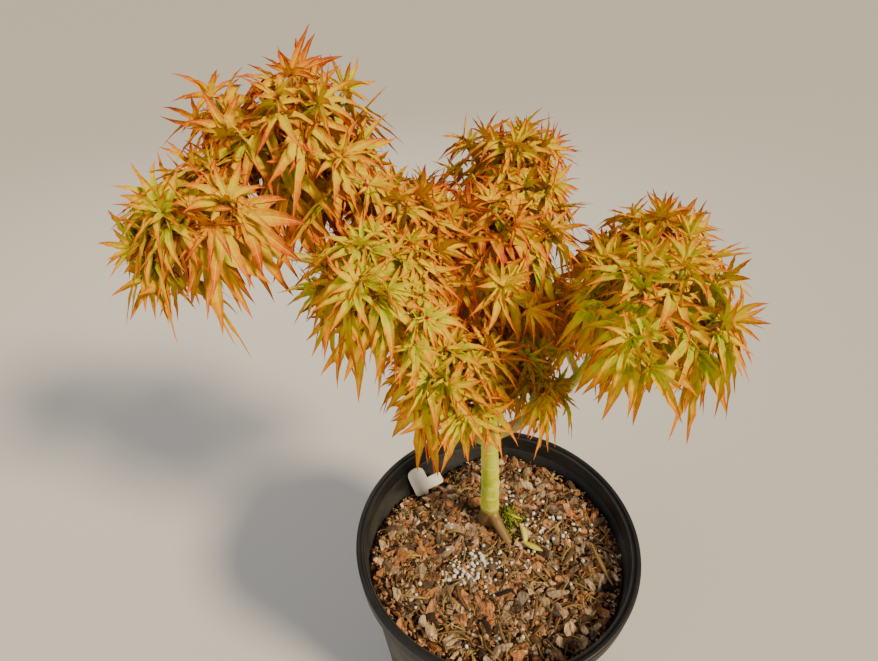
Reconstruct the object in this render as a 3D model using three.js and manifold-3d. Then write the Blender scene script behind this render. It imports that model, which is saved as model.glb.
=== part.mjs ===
// A dwarf maple in autumn leaf, growing in a round black nursery pot filled with bark mulch.
// Millimetres, +Z up, +Y away from the viewer. The origin is the centre of the pot's flat underside.
// The trunk forks low into boughs. Masses of twigs and five-lobed leaves stand on their tips.
import * as THREE from "three";
import { mergeVertices } from "three/addons/utils/BufferGeometryUtils.js";
import Module from "manifold-3d";

const wasm = await Module();
wasm.setup();

// Clearances
const GAP = 0.35; // between neighbouring solids
const FOOT_GAP = 0.3; // between the soil and what stands on it
const SUNK = 1.5; // how far a form reaches into the one that it is joined to
const WELD_WITHIN = 1e-4; // corners closer than this are one corner
const MERGE_WITHIN = 0.05; // slivers left by joining leaves to twigs are merged within this distance

// Pot
const POT = {
  height: 212,
  rimRadius: 110,
  topRadius: 104,
  footRadius: 88,
  wall: 2,
  rimDepth: 16,
  lip: 1.8,
  ledge: 3,
  footBand: 14,
  chamfer: 2,
  sides: 36,
  holes: 6,
  holeRadius: 8,
  holeLength: 26,
  holeSides: 10,
};

// Soil: a plug of bark mulch with a gently uneven top, which has sunk round the label
const SOIL = {
  level: 188,
  lumps: 2.6,
  wave: 17,
  phase: [1.3, 0.4],
  hollow: { at: [-60, 80], depth: 17, reach: 58 },
  flatWithin: [34, 54],
  edgeDip: 3,
  wallGap: 0.8,
  rings: 5,
};

// Label: a blank white plate with two arms square to each other, on a stem sunk in the soil.
// It leans back on the pot's wall and is turned in its own plane.
const LABEL = {
  at: [-66, 66],
  turnDeg: 18,
  leanDeg: 14,
  rollDeg: 15,
  thick: 0.9,
  leftArm: { width: 15.4, length: 28, corner: 7.6 },
  rightArm: { width: 12.6, length: 27.6, corner: 2.5 },
  stem: { width: 11, buried: 20, top: 8, corner: 2, aside: 6 },
};

// Trunk
const TRUNK = {
  foot: [-3, 31],
  top: [-10, 25, 309],
  bow: [2, 0, 0],
  footRadius: 9.6,
  stemRadius: 7.7,
  topRadius: 6.0,
  flareHeight: 16,
  knuckleRadius: 7.6,
  knuckleAt: 0.95,
  knuckleSpread: 0.06,
  sides: 12,
  steps: 10,
};
const ROOT = { from: [-2, 29, 200], to: [11, 7], radius: 4.2, endRadius: 2.8, sides: 8 };

// Boughs: each leaves its parent at a share of the parent's length and tapers to its tip, with its
// middle pushed aside by bow. A bough that forks at its tip swells there into a knuckle.
const BOUGH_SIDES = 6;
const BOUGH_STEPS = 6;
const KNUCKLE = { swell: 1, from: 0.9 };
const BOUGHS = {
  left: { from: "trunk", at: 0.96, tip: [-112, 24, 454], radii: [4.6, 3.2], bow: [10, -10, -12] },
  crown_top: { from: "left", at: 0.99, tip: [-130, 58, 486], radii: [2.8, 2.1], bow: [-2, 2, -4] },
  far_left: { from: "left", at: 0.98, tip: [-160, 10, 471], radii: [2.6, 2], bow: [2, 0, -6] },
  upper_left: { from: "left", at: 0.66, tip: [-69, 36, 428], radii: [2.6, 2], bow: [6, 6, -4] },
  lower_left: { from: "left", at: 0.62, tip: [-77, -6, 438], radii: [2.5, 1.9], bow: [2, -6, -6] },
  rear_top: { from: "trunk", at: 0.93, tip: [-1, 98, 446], radii: [4.2, 2.4], bow: [4, 14, -14] },
  middle: { from: "rear_top", at: 0.52, tip: [-12, 58, 416], radii: [2.4, 1.9], bow: [-4, 0, 0] },
  rear_left: { from: "rear_top", at: 0.3, tip: [-62, 108, 406], radii: [2.5, 1.9], bow: [-4, 8, -10] },
  right: { from: "trunk", at: 0.9, tip: [58, 16, 398], radii: [4.4, 3], bow: [12, -6, -14] },
  upper_right: { from: "right", at: 0.99, tip: [80, 40, 414], radii: [2.7, 2.1], bow: [2, 2, -4] },
  lower_right: { from: "right", at: 0.97, tip: [68, -14, 424], radii: [2.6, 2], bow: [4, -2, -5] },
  centre: { from: "right", at: 0.46, tip: [2, 36, 372], radii: [2.3, 1.8], bow: [-2, 4, 0] },
  rear_right: { from: "right", at: 0.72, tip: [44, 78, 353], radii: [2.3, 1.8], bow: [2, 6, -6] },
  front: { from: "trunk", at: 0.84, tip: [-38, -4, 376], radii: [3, 1.9], bow: [-10, -6, -14] },
  low_right: { from: "right", at: 0.24, tip: [15, 5, 352], radii: [2.2, 1.7], bow: [2, -5, -2] },
};

// Leaf masses: one on the tip of the bough of the same name. lean is how far the mass leans in X
// and Y for each unit up, lift how far its shoots stand out, splay how wide they spread, and leaf
// the length of its leaves' middle lobe.
const MASSES = {
  crown_top: { lean: [0.16, 0], lift: 49, splay: 96, shoots: 9, leaf: 52, seed: 164 },
  far_left: { lean: [-0.66, -0.26], lift: 34, splay: 77, shoots: 6, leaf: 46, seed: 774 },
  upper_left: { lean: [0.06, -0.1], lift: 42, splay: 70, shoots: 6, leaf: 46, seed: 411 },
  lower_left: { lean: [-0.14, -0.16], lift: 34, splay: 84, shoots: 5, leaf: 40, seed: 541 },
  rear_top: { lean: [0.2, 0.06], lift: 40, splay: 72, shoots: 6, leaf: 42, seed: 1188 },
  middle: { lean: [0, -0.1], lift: 46, splay: 66, shoots: 6, leaf: 46, seed: 475 },
  rear_left: { lean: [-0.3, 0.6], lift: 38, splay: 88, shoots: 6, leaf: 46, seed: 895 },
  upper_right: { lean: [0.14, 0.2], lift: 42, splay: 84, shoots: 7, leaf: 49, seed: 338 },
  lower_right: { lean: [0.17, -0.08], lift: 40, splay: 84, shoots: 7, leaf: 44, seed: 640 },
  centre: { lean: [-0.1, -0.2], lift: 32, splay: 76, shoots: 6, leaf: 38, seed: 239 },
  rear_right: { lean: [0.67, 0.83], lift: 25, splay: 88, shoots: 5, leaf: 37, seed: 833 },
  front: { lean: [-0.1, -0.3], lift: 28, splay: 86, shoots: 5, leaf: 44, seed: 773 },
  low_right: { lean: [0.16, -0.1], lift: 16, splay: 80, shoots: 3, leaf: 27, seed: 1177 },
};

// The rule of the twigs and leaves inside a mass
const GOLDEN_ANGLE = Math.PI * (3 - Math.sqrt(5));
const STEM = { length: 9, radius: 2.1, sides: 6 };
const SHOOT = {
  radii: [2.2, 1.8],
  sides: 3,
  steps: 4,
  rise: 0.55,
  inset: 0.3,
  lengthSpread: [0.92, 1.08],
  pairs: 3,
  firstPair: 0.97,
  spacing: 0.24,
  riseDeg: [58, 2],
  stalk: [6, 11],
  size: [0.66, 1],
  sizeSpread: [0.9, 1.1],
  turnSpread: 0.5,
  riseSpread: 0.3,
};
const LEAF = {
  lobesDeg: [0, 38, 84],
  lobeShare: [1, 0.9, 0.62],
  notchShare: 0.32,
  droop: 0.32,
  notchDroop: 0.06,
  droopShortens: 0.4,
  nodDeg: -20,
  thickShare: 0.026,
  leastThick: 0.9,
  stalkWidth: 1.7,
  margin: 0.8,
  rootDepth: 0.2,
  rootShare: 0.6,
};
const SIZE_TRIES = [1, 0.8, 0.64]; // a leaf that doesn't fit is tried smaller, then skipped
const RIM_CLEARANCE = 4;

const FINISHES = {
  pot: { color: 0x25272a, roughness: 0.45 },
  soil: { color: 0x5a3a24, roughness: 0.95 },
  label: { color: 0xf2f2ea, roughness: 0.4 },
  bark: { color: 0x9aa63a, roughness: 0.6 },
};
const LEAF_TINTS = [0xd9761f, 0xe0a526, 0xb7b52a];
const LEAF_ROUGHNESS = 0.55;

const rad = THREE.MathUtils.degToRad;
const UP = new THREE.Vector3(0, 0, 1);
const EAST = new THREE.Vector3(1, 0, 0);
const vec = (a) => new THREE.Vector3(...a);
const mix = (range, share) => THREE.MathUtils.lerp(range[0], range[1], share);

// A repeatable stream of numbers from 0 to 1.
function seeded(seed) {
  let state = seed >>> 0;
  return () => {
    state = (state + 0x6d2b79f5) >>> 0;
    let mixed = Math.imul(state ^ (state >>> 15), state | 1);
    mixed ^= mixed + Math.imul(mixed ^ (mixed >>> 7), mixed | 61);
    return ((mixed ^ (mixed >>> 14)) >>> 0) / 4294967296;
  };
}

// A three.js geometry as a solid.
function solidOf(geometry) {
  const bare = geometry.clone();
  for (const name of Object.keys(bare.attributes)) {
    if (name !== "position") bare.deleteAttribute(name);
  }
  const merged = mergeVertices(bare, WELD_WITHIN);
  return new wasm.Manifold(
    new wasm.Mesh({
      numProp: 3,
      vertProperties: new Float32Array(merged.attributes.position.array),
      triVerts: new Uint32Array(merged.index.array),
    }),
  );
}

// A solid as a three.js geometry.
function geometryOf(solid) {
  const mesh = solid.getMesh();
  const geometry = new THREE.BufferGeometry();
  geometry.setAttribute("position", new THREE.BufferAttribute(new Float32Array(mesh.vertProperties), 3));
  geometry.setIndex(new THREE.BufferAttribute(new Uint32Array(mesh.triVerts), 1));
  geometry.computeVertexNormals();
  return geometry;
}

// The largest body of a solid, without loose scraps and without sealed hollows.
function largestBody(solid) {
  return solid.decompose().reduce((best, body) => (body.volume() > best.volume() ? body : best));
}

// A solid from its corners and its triangles.
function solidFrom(points, index) {
  const geometry = new THREE.BufferGeometry().setFromPoints(points);
  geometry.setIndex(index);
  return solidOf(geometry);
}

// True if two solids overlap.
function touches(one, other) {
  const [a, b] = [one.boundingBox(), other.boundingBox()];
  const apart = a.min.some((low, axis) => low > b.max[axis] || b.min[axis] > a.max[axis]);
  return !apart && !one.intersect(other).isEmpty();
}

// A closed skin round a curve: rings of points with a cap at each end. radiusAt takes a share of
// the curve's length.
function tubeAlong(curve, radiusAt, sides, steps) {
  const frames = curve.computeFrenetFrames(steps, false);
  const points = [];
  for (let i = 0; i <= steps; i++) {
    const centre = curve.getPointAt(i / steps);
    const radius = radiusAt(i / steps);
    for (let j = 0; j < sides; j++) {
      const turn = (2 * Math.PI * j) / sides;
      const spoke = frames.normals[i].clone().multiplyScalar(radius * Math.cos(turn));
      spoke.addScaledVector(frames.binormals[i], radius * Math.sin(turn));
      points.push(centre.clone().add(spoke));
    }
  }
  const index = [];
  for (let i = 0; i < steps; i++) {
    for (let j = 0; j < sides; j++) {
      const [a, b] = [i * sides + j, i * sides + ((j + 1) % sides)];
      index.push(a, b, b + sides, a, b + sides, a + sides);
    }
  }
  const last = steps * sides;
  for (let j = 1; j < sides - 1; j++) {
    index.push(0, j + 1, j, last, last + j, last + j + 1);
  }
  return solidFrom(points, index);
}

// A straight tapering prism.
function prism(from, to, radii, sides) {
  return tubeAlong(new THREE.LineCurve3(from, to), (share) => mix(radii, share), sides, 1);
}

// The curve of a limb: from start to tip, its middle pushed aside by bow.
function limbCurve(start, tip, bow) {
  const middle = start.clone().lerp(tip, 0.5).add(vec(bow));
  return new THREE.QuadraticBezierCurve3(start, middle, tip);
}

// The pot's wall turned round its axis, with drainage holes through the corner of its foot.
function potSolid() {
  const { height, rimRadius, topRadius, footRadius, wall, rimDepth, lip, ledge, footBand, chamfer } = POT;
  const rimBase = height - rimDepth;
  const outline = [
    [0, wall],
    [footRadius - wall - chamfer, wall],
    [topRadius - wall, rimBase],
    [rimRadius - 2 * lip - ledge, height - lip],
    [rimRadius - 2 * lip, height - lip],
    [rimRadius - lip, height],
    [rimRadius, height - lip],
    [rimRadius - wall / 2, rimBase],
    [topRadius, rimBase],
    [footRadius, footBand],
    [footRadius, chamfer],
    [footRadius - chamfer, 0],
    [0, 0],
  ].map(([x, y]) => new THREE.Vector2(x, y));
  const { sides, holes, holeRadius, holeLength, holeSides } = POT;
  const hole = new THREE.CylinderGeometry(holeRadius, holeRadius, holeLength, holeSides).rotateZ(Math.PI / 2);
  hole.translate(footRadius, 0, wall / 2);
  let pot = solidOf(new THREE.LatheGeometry(outline.reverse(), sides).rotateX(Math.PI / 2));
  for (let i = 0; i < holes; i++) {
    const turn = (2 * Math.PI * (i + 0.5)) / holes;
    pot = pot.subtract(solidOf(hole.clone().rotateZ(turn)));
  }
  return largestBody(pot);
}

// The radius of the soil at a height: just clear of the pot's tapering inner wall.
function soilRadius(z) {
  const { height, topRadius, footRadius, wall, rimDepth, chamfer } = POT;
  const share = (z - wall) / (height - rimDepth - wall);
  return mix([footRadius - wall - chamfer, topRadius - wall], share) - SOIL.wallGap;
}

// The height of the soil: flat round the trunk's foot, with low swells further out and a hollow
// round the label.
function soilLevel(x, y) {
  const { level, lumps, wave, phase, hollow, flatWithin } = SOIL;
  const away = Math.hypot(x - TRUNK.foot[0], y - TRUNK.foot[1]);
  const swell = lumps * Math.sin(x / wave + phase[0]) * Math.cos(y / wave + phase[1]);
  const share = Math.hypot(x - hollow.at[0], y - hollow.at[1]) / hollow.reach;
  const sunk = hollow.depth * Math.exp(-(share ** 2));
  return level + (swell - sunk) * THREE.MathUtils.smoothstep(away, ...flatWithin);
}

// The soil fills the pot to its level, with a slot for the label.
function soilSolid(slot) {
  const floor = POT.wall + FOOT_GAP;
  const edge = soilRadius(SOIL.level);
  const points = [new THREE.Vector3(0, 0, floor)];
  const ring = (radiusOf, levelOf) => {
    for (let j = 0; j < POT.sides; j++) {
      const turn = (2 * Math.PI * j) / POT.sides;
      const [x, y] = [Math.cos(turn), Math.sin(turn)];
      const edgeLevel = soilLevel(edge * x, edge * y) - SOIL.edgeDip;
      const radius = radiusOf(edgeLevel);
      points.push(new THREE.Vector3(radius * x, radius * y, levelOf(radius * x, radius * y, edgeLevel)));
    }
  };
  ring(() => soilRadius(floor), () => floor);
  ring(soilRadius, (x, y, edgeLevel) => edgeLevel);
  for (let i = SOIL.rings - 1; i >= 1; i--) {
    ring((edgeLevel) => (soilRadius(edgeLevel) * i) / SOIL.rings, soilLevel);
  }
  points.push(new THREE.Vector3(0, 0, soilLevel(0, 0)));
  const index = [];
  const top = points.length - 1;
  for (let j = 0; j < POT.sides; j++) {
    const next = (j + 1) % POT.sides;
    index.push(0, 1 + next, 1 + j);
    for (let i = 0; i < SOIL.rings; i++) {
      const [a, b] = [1 + i * POT.sides + j, 1 + i * POT.sides + next];
      index.push(a, b, b + POT.sides, a, b + POT.sides, a + POT.sides);
    }
    const last = 1 + SOIL.rings * POT.sides;
    index.push(last + j, last + next, top);
  }
  return largestBody(solidFrom(points, index).subtract(slot));
}

// A flat tag, square at its foot and rounded at its head, grown on all sides by a margin.
function tagShape(width, from, to, corner, grow) {
  const [half, foot, head] = [width / 2 + grow, from - grow, to + grow];
  const shape = new THREE.Shape();
  shape.moveTo(-half, foot);
  shape.lineTo(half, foot);
  shape.lineTo(half, head - corner);
  shape.quadraticCurveTo(half, head, half - corner, head);
  shape.lineTo(corner - half, head);
  shape.quadraticCurveTo(-half, head, -half, head - corner);
  const depth = LABEL.thick + 2 * grow;
  const slab = new THREE.ExtrudeGeometry(shape, { depth, bevelEnabled: false, curveSegments: 4 });
  return slab.translate(0, 0, -depth / 2);
}

// The label, with its arms' shared corner at the soil, grown on all sides by a margin.
function labelSolid(grow) {
  const { at, turnDeg, leanDeg, rollDeg, leftArm, rightArm, stem } = LABEL;
  const left = tagShape(leftArm.width, 0, leftArm.length, leftArm.corner, grow);
  const right = tagShape(rightArm.width, 0, rightArm.length, rightArm.corner, grow);
  const tags = [
    left.translate(leftArm.width / 2, 0, 0).rotateZ(rad(rollDeg)),
    right.translate(-rightArm.width / 2, 0, 0).rotateZ(rad(rollDeg - 90)),
    tagShape(stem.width, -stem.buried, stem.top, stem.corner, grow).translate(stem.aside, 0, 0),
  ];
  const place = new THREE.Matrix4().makeTranslation(...at, soilLevel(...at));
  place.multiply(new THREE.Matrix4().makeRotationZ(rad(turnDeg)));
  place.multiply(new THREE.Matrix4().makeRotationX(rad(90 - leanDeg)));
  return wasm.Manifold.union(tags.map((tag) => solidOf(tag.applyMatrix4(place))));
}

// The trunk's radius: a flare at the foot, a slim stem and the swollen knuckle that it forks from.
function trunkRadius(share, length) {
  const { footRadius, stemRadius, topRadius, knuckleRadius, knuckleAt, knuckleSpread, flareHeight } = TRUNK;
  const flare = Math.max(0, 1 - (share * length) / flareHeight) ** 2;
  const knuckle = Math.exp(-(((share - knuckleAt) / knuckleSpread) ** 2));
  const stem = mix([stemRadius, topRadius], share);
  return stem + (footRadius - stemRadius) * flare + (knuckleRadius - topRadius) * knuckle;
}

// The limbs as curves with their radii, each child starting on its parent's centre line.
function limbTable() {
  const foot = new THREE.Vector3(...TRUNK.foot, SOIL.level + FOOT_GAP);
  const trunk = limbCurve(foot, vec(TRUNK.top), TRUNK.bow);
  const length = trunk.getLength();
  const table = { trunk: { curve: trunk, radiusAt: (share) => trunkRadius(share, length) } };
  for (const [name, { from, at, tip, radii, bow }] of Object.entries(BOUGHS)) {
    const forked = Object.values(BOUGHS).some((other) => other.from === name && other.at > KNUCKLE.from);
    const knuckle = forked ? KNUCKLE.swell : 0;
    const swell = (share) => knuckle * THREE.MathUtils.smoothstep(share, KNUCKLE.from, 1);
    const curve = limbCurve(table[from].curve.getPointAt(at), vec(tip), bow);
    table[name] = { curve, radiusAt: (share) => mix(radii, share) + swell(share) };
  }
  return table;
}

// A limb's solid, thicker all round by a margin.
function limbSolid(limb, grow) {
  const isTrunk = limb === limbs.trunk;
  const [sides, steps] = isTrunk ? [TRUNK.sides, TRUNK.steps] : [BOUGH_SIDES, BOUGH_STEPS];
  return tubeAlong(limb.curve, (share) => limb.radiusAt(share) + grow, sides, steps);
}

// The trunk with its surface root, cut off flat at the soil.
function trunkSolid() {
  const { foot, footRadius, sides } = TRUNK;
  const level = SOIL.level + FOOT_GAP;
  const below = new THREE.Vector3(...foot, level - footRadius);
  const base = prism(below, new THREE.Vector3(...foot, level + SUNK), [footRadius, footRadius], sides);
  const rootEnd = new THREE.Vector3(...ROOT.to, level - ROOT.endRadius);
  const root = prism(vec(ROOT.from), rootEnd, [ROOT.radius, ROOT.endRadius], ROOT.sides);
  return largestBody(limbSolid(limbs.trunk, 0).add(base).add(root).trimByPlane([0, 0, 1], level));
}

// Two directions square to an axis and to each other.
function acrossAxis(axis) {
  const side = new THREE.Vector3().crossVectors(axis, Math.abs(axis.x) < 0.8 ? EAST : UP).normalize();
  return [side, new THREE.Vector3().crossVectors(axis, side)];
}

// A direction that stands at an angle from an axis, turned round it.
function tilted(axis, side, front, angle, turn) {
  const way = axis.clone().multiplyScalar(Math.cos(angle));
  way.addScaledVector(side, Math.sin(angle) * Math.cos(turn));
  return way.addScaledVector(front, Math.sin(angle) * Math.sin(turn));
}

// The way a mass faces.
function leanOf(mass) {
  return new THREE.Vector3(...mass.lean, 1).normalize();
}

// The shoots of a mass stand round its lean on a golden-angle spiral, the first at the top,
// and each curves upward to its tip.
function shootsOf(mass, foot) {
  const random = seeded(mass.seed);
  const lean = leanOf(mass);
  const [side, front] = acrossAxis(lean);
  const shoots = [];
  for (let k = 0; k < mass.shoots; k++) {
    const share = k === 0 ? 0 : Math.sqrt((k - SHOOT.inset) / (mass.shoots - 1));
    const way = tilted(lean, side, front, rad(mass.splay) * share, mass.seed + k * GOLDEN_ANGLE);
    const length = mass.lift * mix(SHOOT.lengthSpread, random());
    const tip = foot.clone().addScaledVector(way, length);
    const rise = way.addScaledVector(UP, SHOOT.rise).normalize();
    const bend = tip.clone().addScaledVector(rise, -length / 2);
    const curve = new THREE.QuadraticBezierCurve3(foot, bend, tip);
    shoots.push({ curve, turn: random() * Math.PI, random });
  }
  return shoots;
}

// Where the leaves of a shoot sit: opposite pairs, each a quarter turn round from the last,
// small and upright at the tip, large and hanging further down.
function leavesOf({ curve, turn, random }, mass) {
  const leaves = [];
  for (let k = 0; k < SHOOT.pairs; k++) {
    const share = k / (SHOOT.pairs - 1);
    const place = SHOOT.firstPair - k * SHOOT.spacing;
    const axis = curve.getTangentAt(place);
    const [side, front] = acrossAxis(axis);
    for (const half of [0, Math.PI]) {
      const round = turn + (k * Math.PI) / 2 + half + (random() - 0.5) * SHOOT.turnSpread;
      const polar = rad(90 - mix(SHOOT.riseDeg, share)) + (random() - 0.5) * SHOOT.riseSpread;
      const nod = polar - rad(LEAF.nodDeg);
      leaves.push({
        node: curve.getPointAt(place),
        way: tilted(axis, side, front, polar, round),
        forward: tilted(axis, side, front, nod, round),
        normal: tilted(axis, side, front, nod - Math.PI / 2, round),
        stalk: mix(SHOOT.stalk, share),
        length: mass.leaf * mix(SHOOT.size, share) * mix(SHOOT.sizeSpread, random()),
      });
    }
  }
  return leaves;
}

// A leaf's outline from one side of its stalk round to the other: each lobe's tip, with a notch
// between neighbours. The tips hang lower than the notches.
function leafRing(leaf, base, length) {
  const across = new THREE.Vector3().crossVectors(leaf.normal, leaf.forward);
  const corner = (turnDeg, reach, droop) => {
    const way = leaf.forward.clone().multiplyScalar(Math.cos(rad(turnDeg)));
    way.addScaledVector(across, Math.sin(rad(turnDeg)));
    way.multiplyScalar(1 - droop * LEAF.droopShortens).addScaledVector(UP, -droop);
    return base.clone().addScaledVector(way, reach);
  };
  const last = LEAF.lobesDeg.length - 1;
  const ring = [];
  for (let lobe = -last; lobe <= last; lobe++) {
    const turn = Math.sign(lobe) * LEAF.lobesDeg[Math.abs(lobe)];
    ring.push(corner(turn, length * LEAF.lobeShare[Math.abs(lobe)], LEAF.droop));
    if (lobe < last) {
      const next = Math.sign(lobe + 1) * LEAF.lobesDeg[Math.abs(lobe + 1)];
      ring.push(corner((turn + next) / 2, length * LEAF.notchShare, LEAF.notchDroop));
    }
  }
  return ring;
}

// A leaf: a star-shaped blade, thickest at its base, on a stalk that starts inside the twig.
// blade is the part that has to stay clear of other leaves.
function leafAt(leaf, scale) {
  const length = leaf.length * scale;
  const base = leaf.node.clone().addScaledVector(leaf.way, leaf.stalk * scale);
  const half = Math.max(length * LEAF.thickShare, LEAF.leastThick) / 2;
  const side = new THREE.Vector3().crossVectors(leaf.normal, leaf.forward);
  side.multiplyScalar(LEAF.stalkWidth / 2);
  const rhombus = (at, share) => [
    at.clone().addScaledVector(leaf.normal, half * share),
    at.clone().addScaledVector(side, -share),
    at.clone().addScaledVector(leaf.normal, -half * share),
    at.clone().addScaledVector(side, share),
  ];
  const ring = leafRing(leaf, base, length);
  const collar = rhombus(base, 1);
  const edge = [collar[1], ...ring, collar[3]];
  const sunk = leaf.node.clone().addScaledVector(leaf.way, -LEAF.rootDepth);
  const points = [collar[0], collar[2], ...edge, ...rhombus(sunk, LEAF.rootShare)];
  const root = points.length - 4;
  const index = [];
  for (let i = 0; i < edge.length - 1; i++) {
    index.push(0, 2 + i, 3 + i, 1, 3 + i, 2 + i);
  }
  const blade = [...index, 0, 1, 2, 0, 1 + edge.length, 1];
  const round = [0, 2, 1, 1 + edge.length];
  round.forEach((corner, i) => {
    const next = round[(i + 1) % 4];
    const [far, farNext] = [root + i, root + ((i + 1) % 4)];
    index.push(corner, far, farNext, corner, farNext, next);
  });
  index.push(root, root + 2, root + 1, root, root + 3, root + 2);
  return { base, ring, solid: solidFrom(points, index), blade: solidFrom(points.slice(0, root), blade) };
}

// The middle of a mass, half its lift beyond its bough's tip.
function middleOf(name) {
  const mass = MASSES[name];
  return limbs[name].curve.getPointAt(1).addScaledVector(leanOf(mass), mass.lift / 2);
}

// The planes that part a mass from the others, set between their middles by their reach.
function spaceOf(name) {
  const reach = (key) => MASSES[key].lift + MASSES[key].leaf;
  const mine = middleOf(name);
  const others = Object.keys(MASSES).filter((key) => key !== name);
  return others.map((key) => {
    const theirs = middleOf(key);
    const border = mine.clone().lerp(theirs, reach(name) / (reach(name) + reach(key)));
    return new THREE.Plane().setFromNormalAndCoplanarPoint(theirs.sub(mine).normalize(), border);
  });
}

// True if every point lies over the pot's rim and inside the mass's space, by a margin.
function fits(points, space, margin) {
  const inside = (point) => space.every((plane) => plane.distanceToPoint(point) < -margin);
  return points.every((point) => point.z > POT.height + RIM_CLEARANCE && inside(point));
}

// The stem, twigs and leaves of a mass, joined. What would leave its space or touch a limb or
// another leaf is tried smaller or skipped.
function massSolid(name, shells) {
  const mass = MASSES[name];
  const { curve, radiusAt } = limbs[name];
  const space = spaceOf(name);
  const clear = (solid) => !shells.some((shell) => touches(solid, shell));
  const away = curve.getTangentAt(1);
  const start = curve.getPointAt(1).addScaledVector(away, GAP);
  const foot = start.clone().addScaledVector(away, STEM.length);
  const stemTop = foot.clone().addScaledVector(away, SUNK);
  const placed = [prism(start, stemTop, [Math.min(STEM.radius, radiusAt(1)), STEM.radius], STEM.sides)];
  const leaves = [];
  for (const shoot of shootsOf(mass, foot)) {
    const twig = tubeAlong(shoot.curve, (share) => mix(SHOOT.radii, share), SHOOT.sides, SHOOT.steps);
    const rings = shoot.curve.getSpacedPoints(SHOOT.steps);
    if (!fits(rings, space, SHOOT.radii[0] + GAP) || !clear(twig)) continue;
    placed.push(twig);
    leaves.push(...leavesOf(shoot, mass));
  }
  for (const leaf of leaves) {
    for (const scale of SIZE_TRIES) {
      const grown = leafAt(leaf, scale);
      if (!fits([grown.base, ...grown.ring], space, LEAF.margin) || !clear(grown.solid)) continue;
      if (placed.some((other) => touches(grown.blade, other))) continue;
      placed.push(grown.solid);
      break;
    }
  }
  return largestBody(wasm.Manifold.union(placed).asOriginal().simplify(MERGE_WITHIN));
}

// The whole plant as named meshes
const plant = new THREE.Group();
plant.name = "potted_maple";

function addMesh(name, solid, finish) {
  const mesh = new THREE.Mesh(geometryOf(solid), new THREE.MeshStandardMaterial(finish));
  mesh.name = name;
  plant.add(mesh);
}

addMesh("pot", potSolid(), FINISHES.pot);
addMesh("soil", soilSolid(labelSolid(GAP)), FINISHES.soil);
addMesh("plant_label", labelSolid(0), FINISHES.label);

const limbs = limbTable();
const shells = [];
for (const [name, limb] of Object.entries(limbs)) {
  const isTrunk = limb === limbs.trunk;
  let solid = isTrunk ? trunkSolid() : limbSolid(limb, 0);
  for (const shell of shells) solid = solid.subtract(shell);
  shells.push(limbSolid(limb, GAP));
  addMesh(isTrunk ? name : `${name}_bough`, largestBody(solid), FINISHES.bark);
}

Object.keys(MASSES).forEach((name, i) => {
  const finish = { color: LEAF_TINTS[i % LEAF_TINTS.length], roughness: LEAF_ROUGHNESS };
  addMesh(name, massSolid(name, shells), finish);
});

export default plant;
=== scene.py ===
"""Dresses the potted maple: pot, bark mulch, label, limbs, twigs and leaves.

Sizes are in millimetres here and become metres when a mesh is made. +Z is up, +Y is away from the
viewer, and the origin is the centre of the pot's flat underside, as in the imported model.
"""
from __future__ import annotations

import logging
import math
from dataclasses import dataclass, field
from enum import Enum

import bmesh
import bpy
import numpy as np
from mathutils import Euler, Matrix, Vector


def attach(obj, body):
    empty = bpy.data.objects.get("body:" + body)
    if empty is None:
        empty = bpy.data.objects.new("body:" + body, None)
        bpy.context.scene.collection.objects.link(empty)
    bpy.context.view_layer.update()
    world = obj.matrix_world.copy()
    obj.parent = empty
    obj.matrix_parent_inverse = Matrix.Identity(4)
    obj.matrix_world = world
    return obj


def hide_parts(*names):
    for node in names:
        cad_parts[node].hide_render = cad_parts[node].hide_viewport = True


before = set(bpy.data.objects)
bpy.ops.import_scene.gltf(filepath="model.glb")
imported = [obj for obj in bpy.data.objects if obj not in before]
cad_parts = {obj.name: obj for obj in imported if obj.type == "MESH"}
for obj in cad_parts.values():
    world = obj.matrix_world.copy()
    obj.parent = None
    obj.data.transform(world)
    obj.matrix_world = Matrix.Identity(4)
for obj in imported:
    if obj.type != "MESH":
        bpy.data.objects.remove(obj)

log = logging.getLogger("maple")

# A place in millimetres, a span of two values, a skin's points and faces, a colour ramp's stops, what
# can feed a node's input, and a source of random numbers.
Place = tuple[float, float, float]
Span = tuple[float, float]
Skin = tuple[np.ndarray, np.ndarray]
Stops = list[tuple[float, str]]
Feed = bpy.types.Node | bpy.types.NodeSocket | float | tuple | str
Dice = np.random.Generator

MM = 0.001
GOLDEN_ANGLE = math.pi * (3 - math.sqrt(5))
UP = np.array([0.0, 0.0, 1.0])
EAST = np.array([1.0, 0.0, 0.0])
ROOT = "root"
TRUNK_FOOT: Place = (-3, 31, 188.3)
TRUNK_FOOT_RADIUS = 9.6


# Small helpers


def linear(colour: str) -> tuple[float, float, float, float]:
    """Turn an sRGB hex colour into linear light.

    Args:
        colour: Six hex digits with a leading hash.

    Returns:
        Red, green, blue and an alpha of one.
    """
    values = [int(colour[i : i + 2], 16) / 255 for i in (1, 3, 5)]
    red, green, blue = [v / 12.92 if v <= 0.04045 else ((v + 0.055) / 1.055) ** 2.4 for v in values]
    return red, green, blue, 1.0


def mix(low: float, high: float, share: float | np.ndarray) -> float | np.ndarray:
    """Go from low to high by a share from 0 to 1."""
    return low + (high - low) * share


def smoothstep(value: float | np.ndarray, low: float, high: float) -> float | np.ndarray:
    """Rise smoothly from 0 at low to 1 at high."""
    share = np.clip((value - low) / (high - low), 0, 1)
    return share * share * (3 - 2 * share)


def unit(vectors: np.ndarray) -> np.ndarray:
    """Scale vectors to length one along their last axis."""
    return vectors / np.maximum(np.linalg.norm(vectors, axis=-1, keepdims=True), 1e-9)


def turns_of(sides: int) -> np.ndarray:
    """Give evenly spaced angles once round, in radians."""
    return np.arange(sides) * 2 * math.pi / sides


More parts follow.
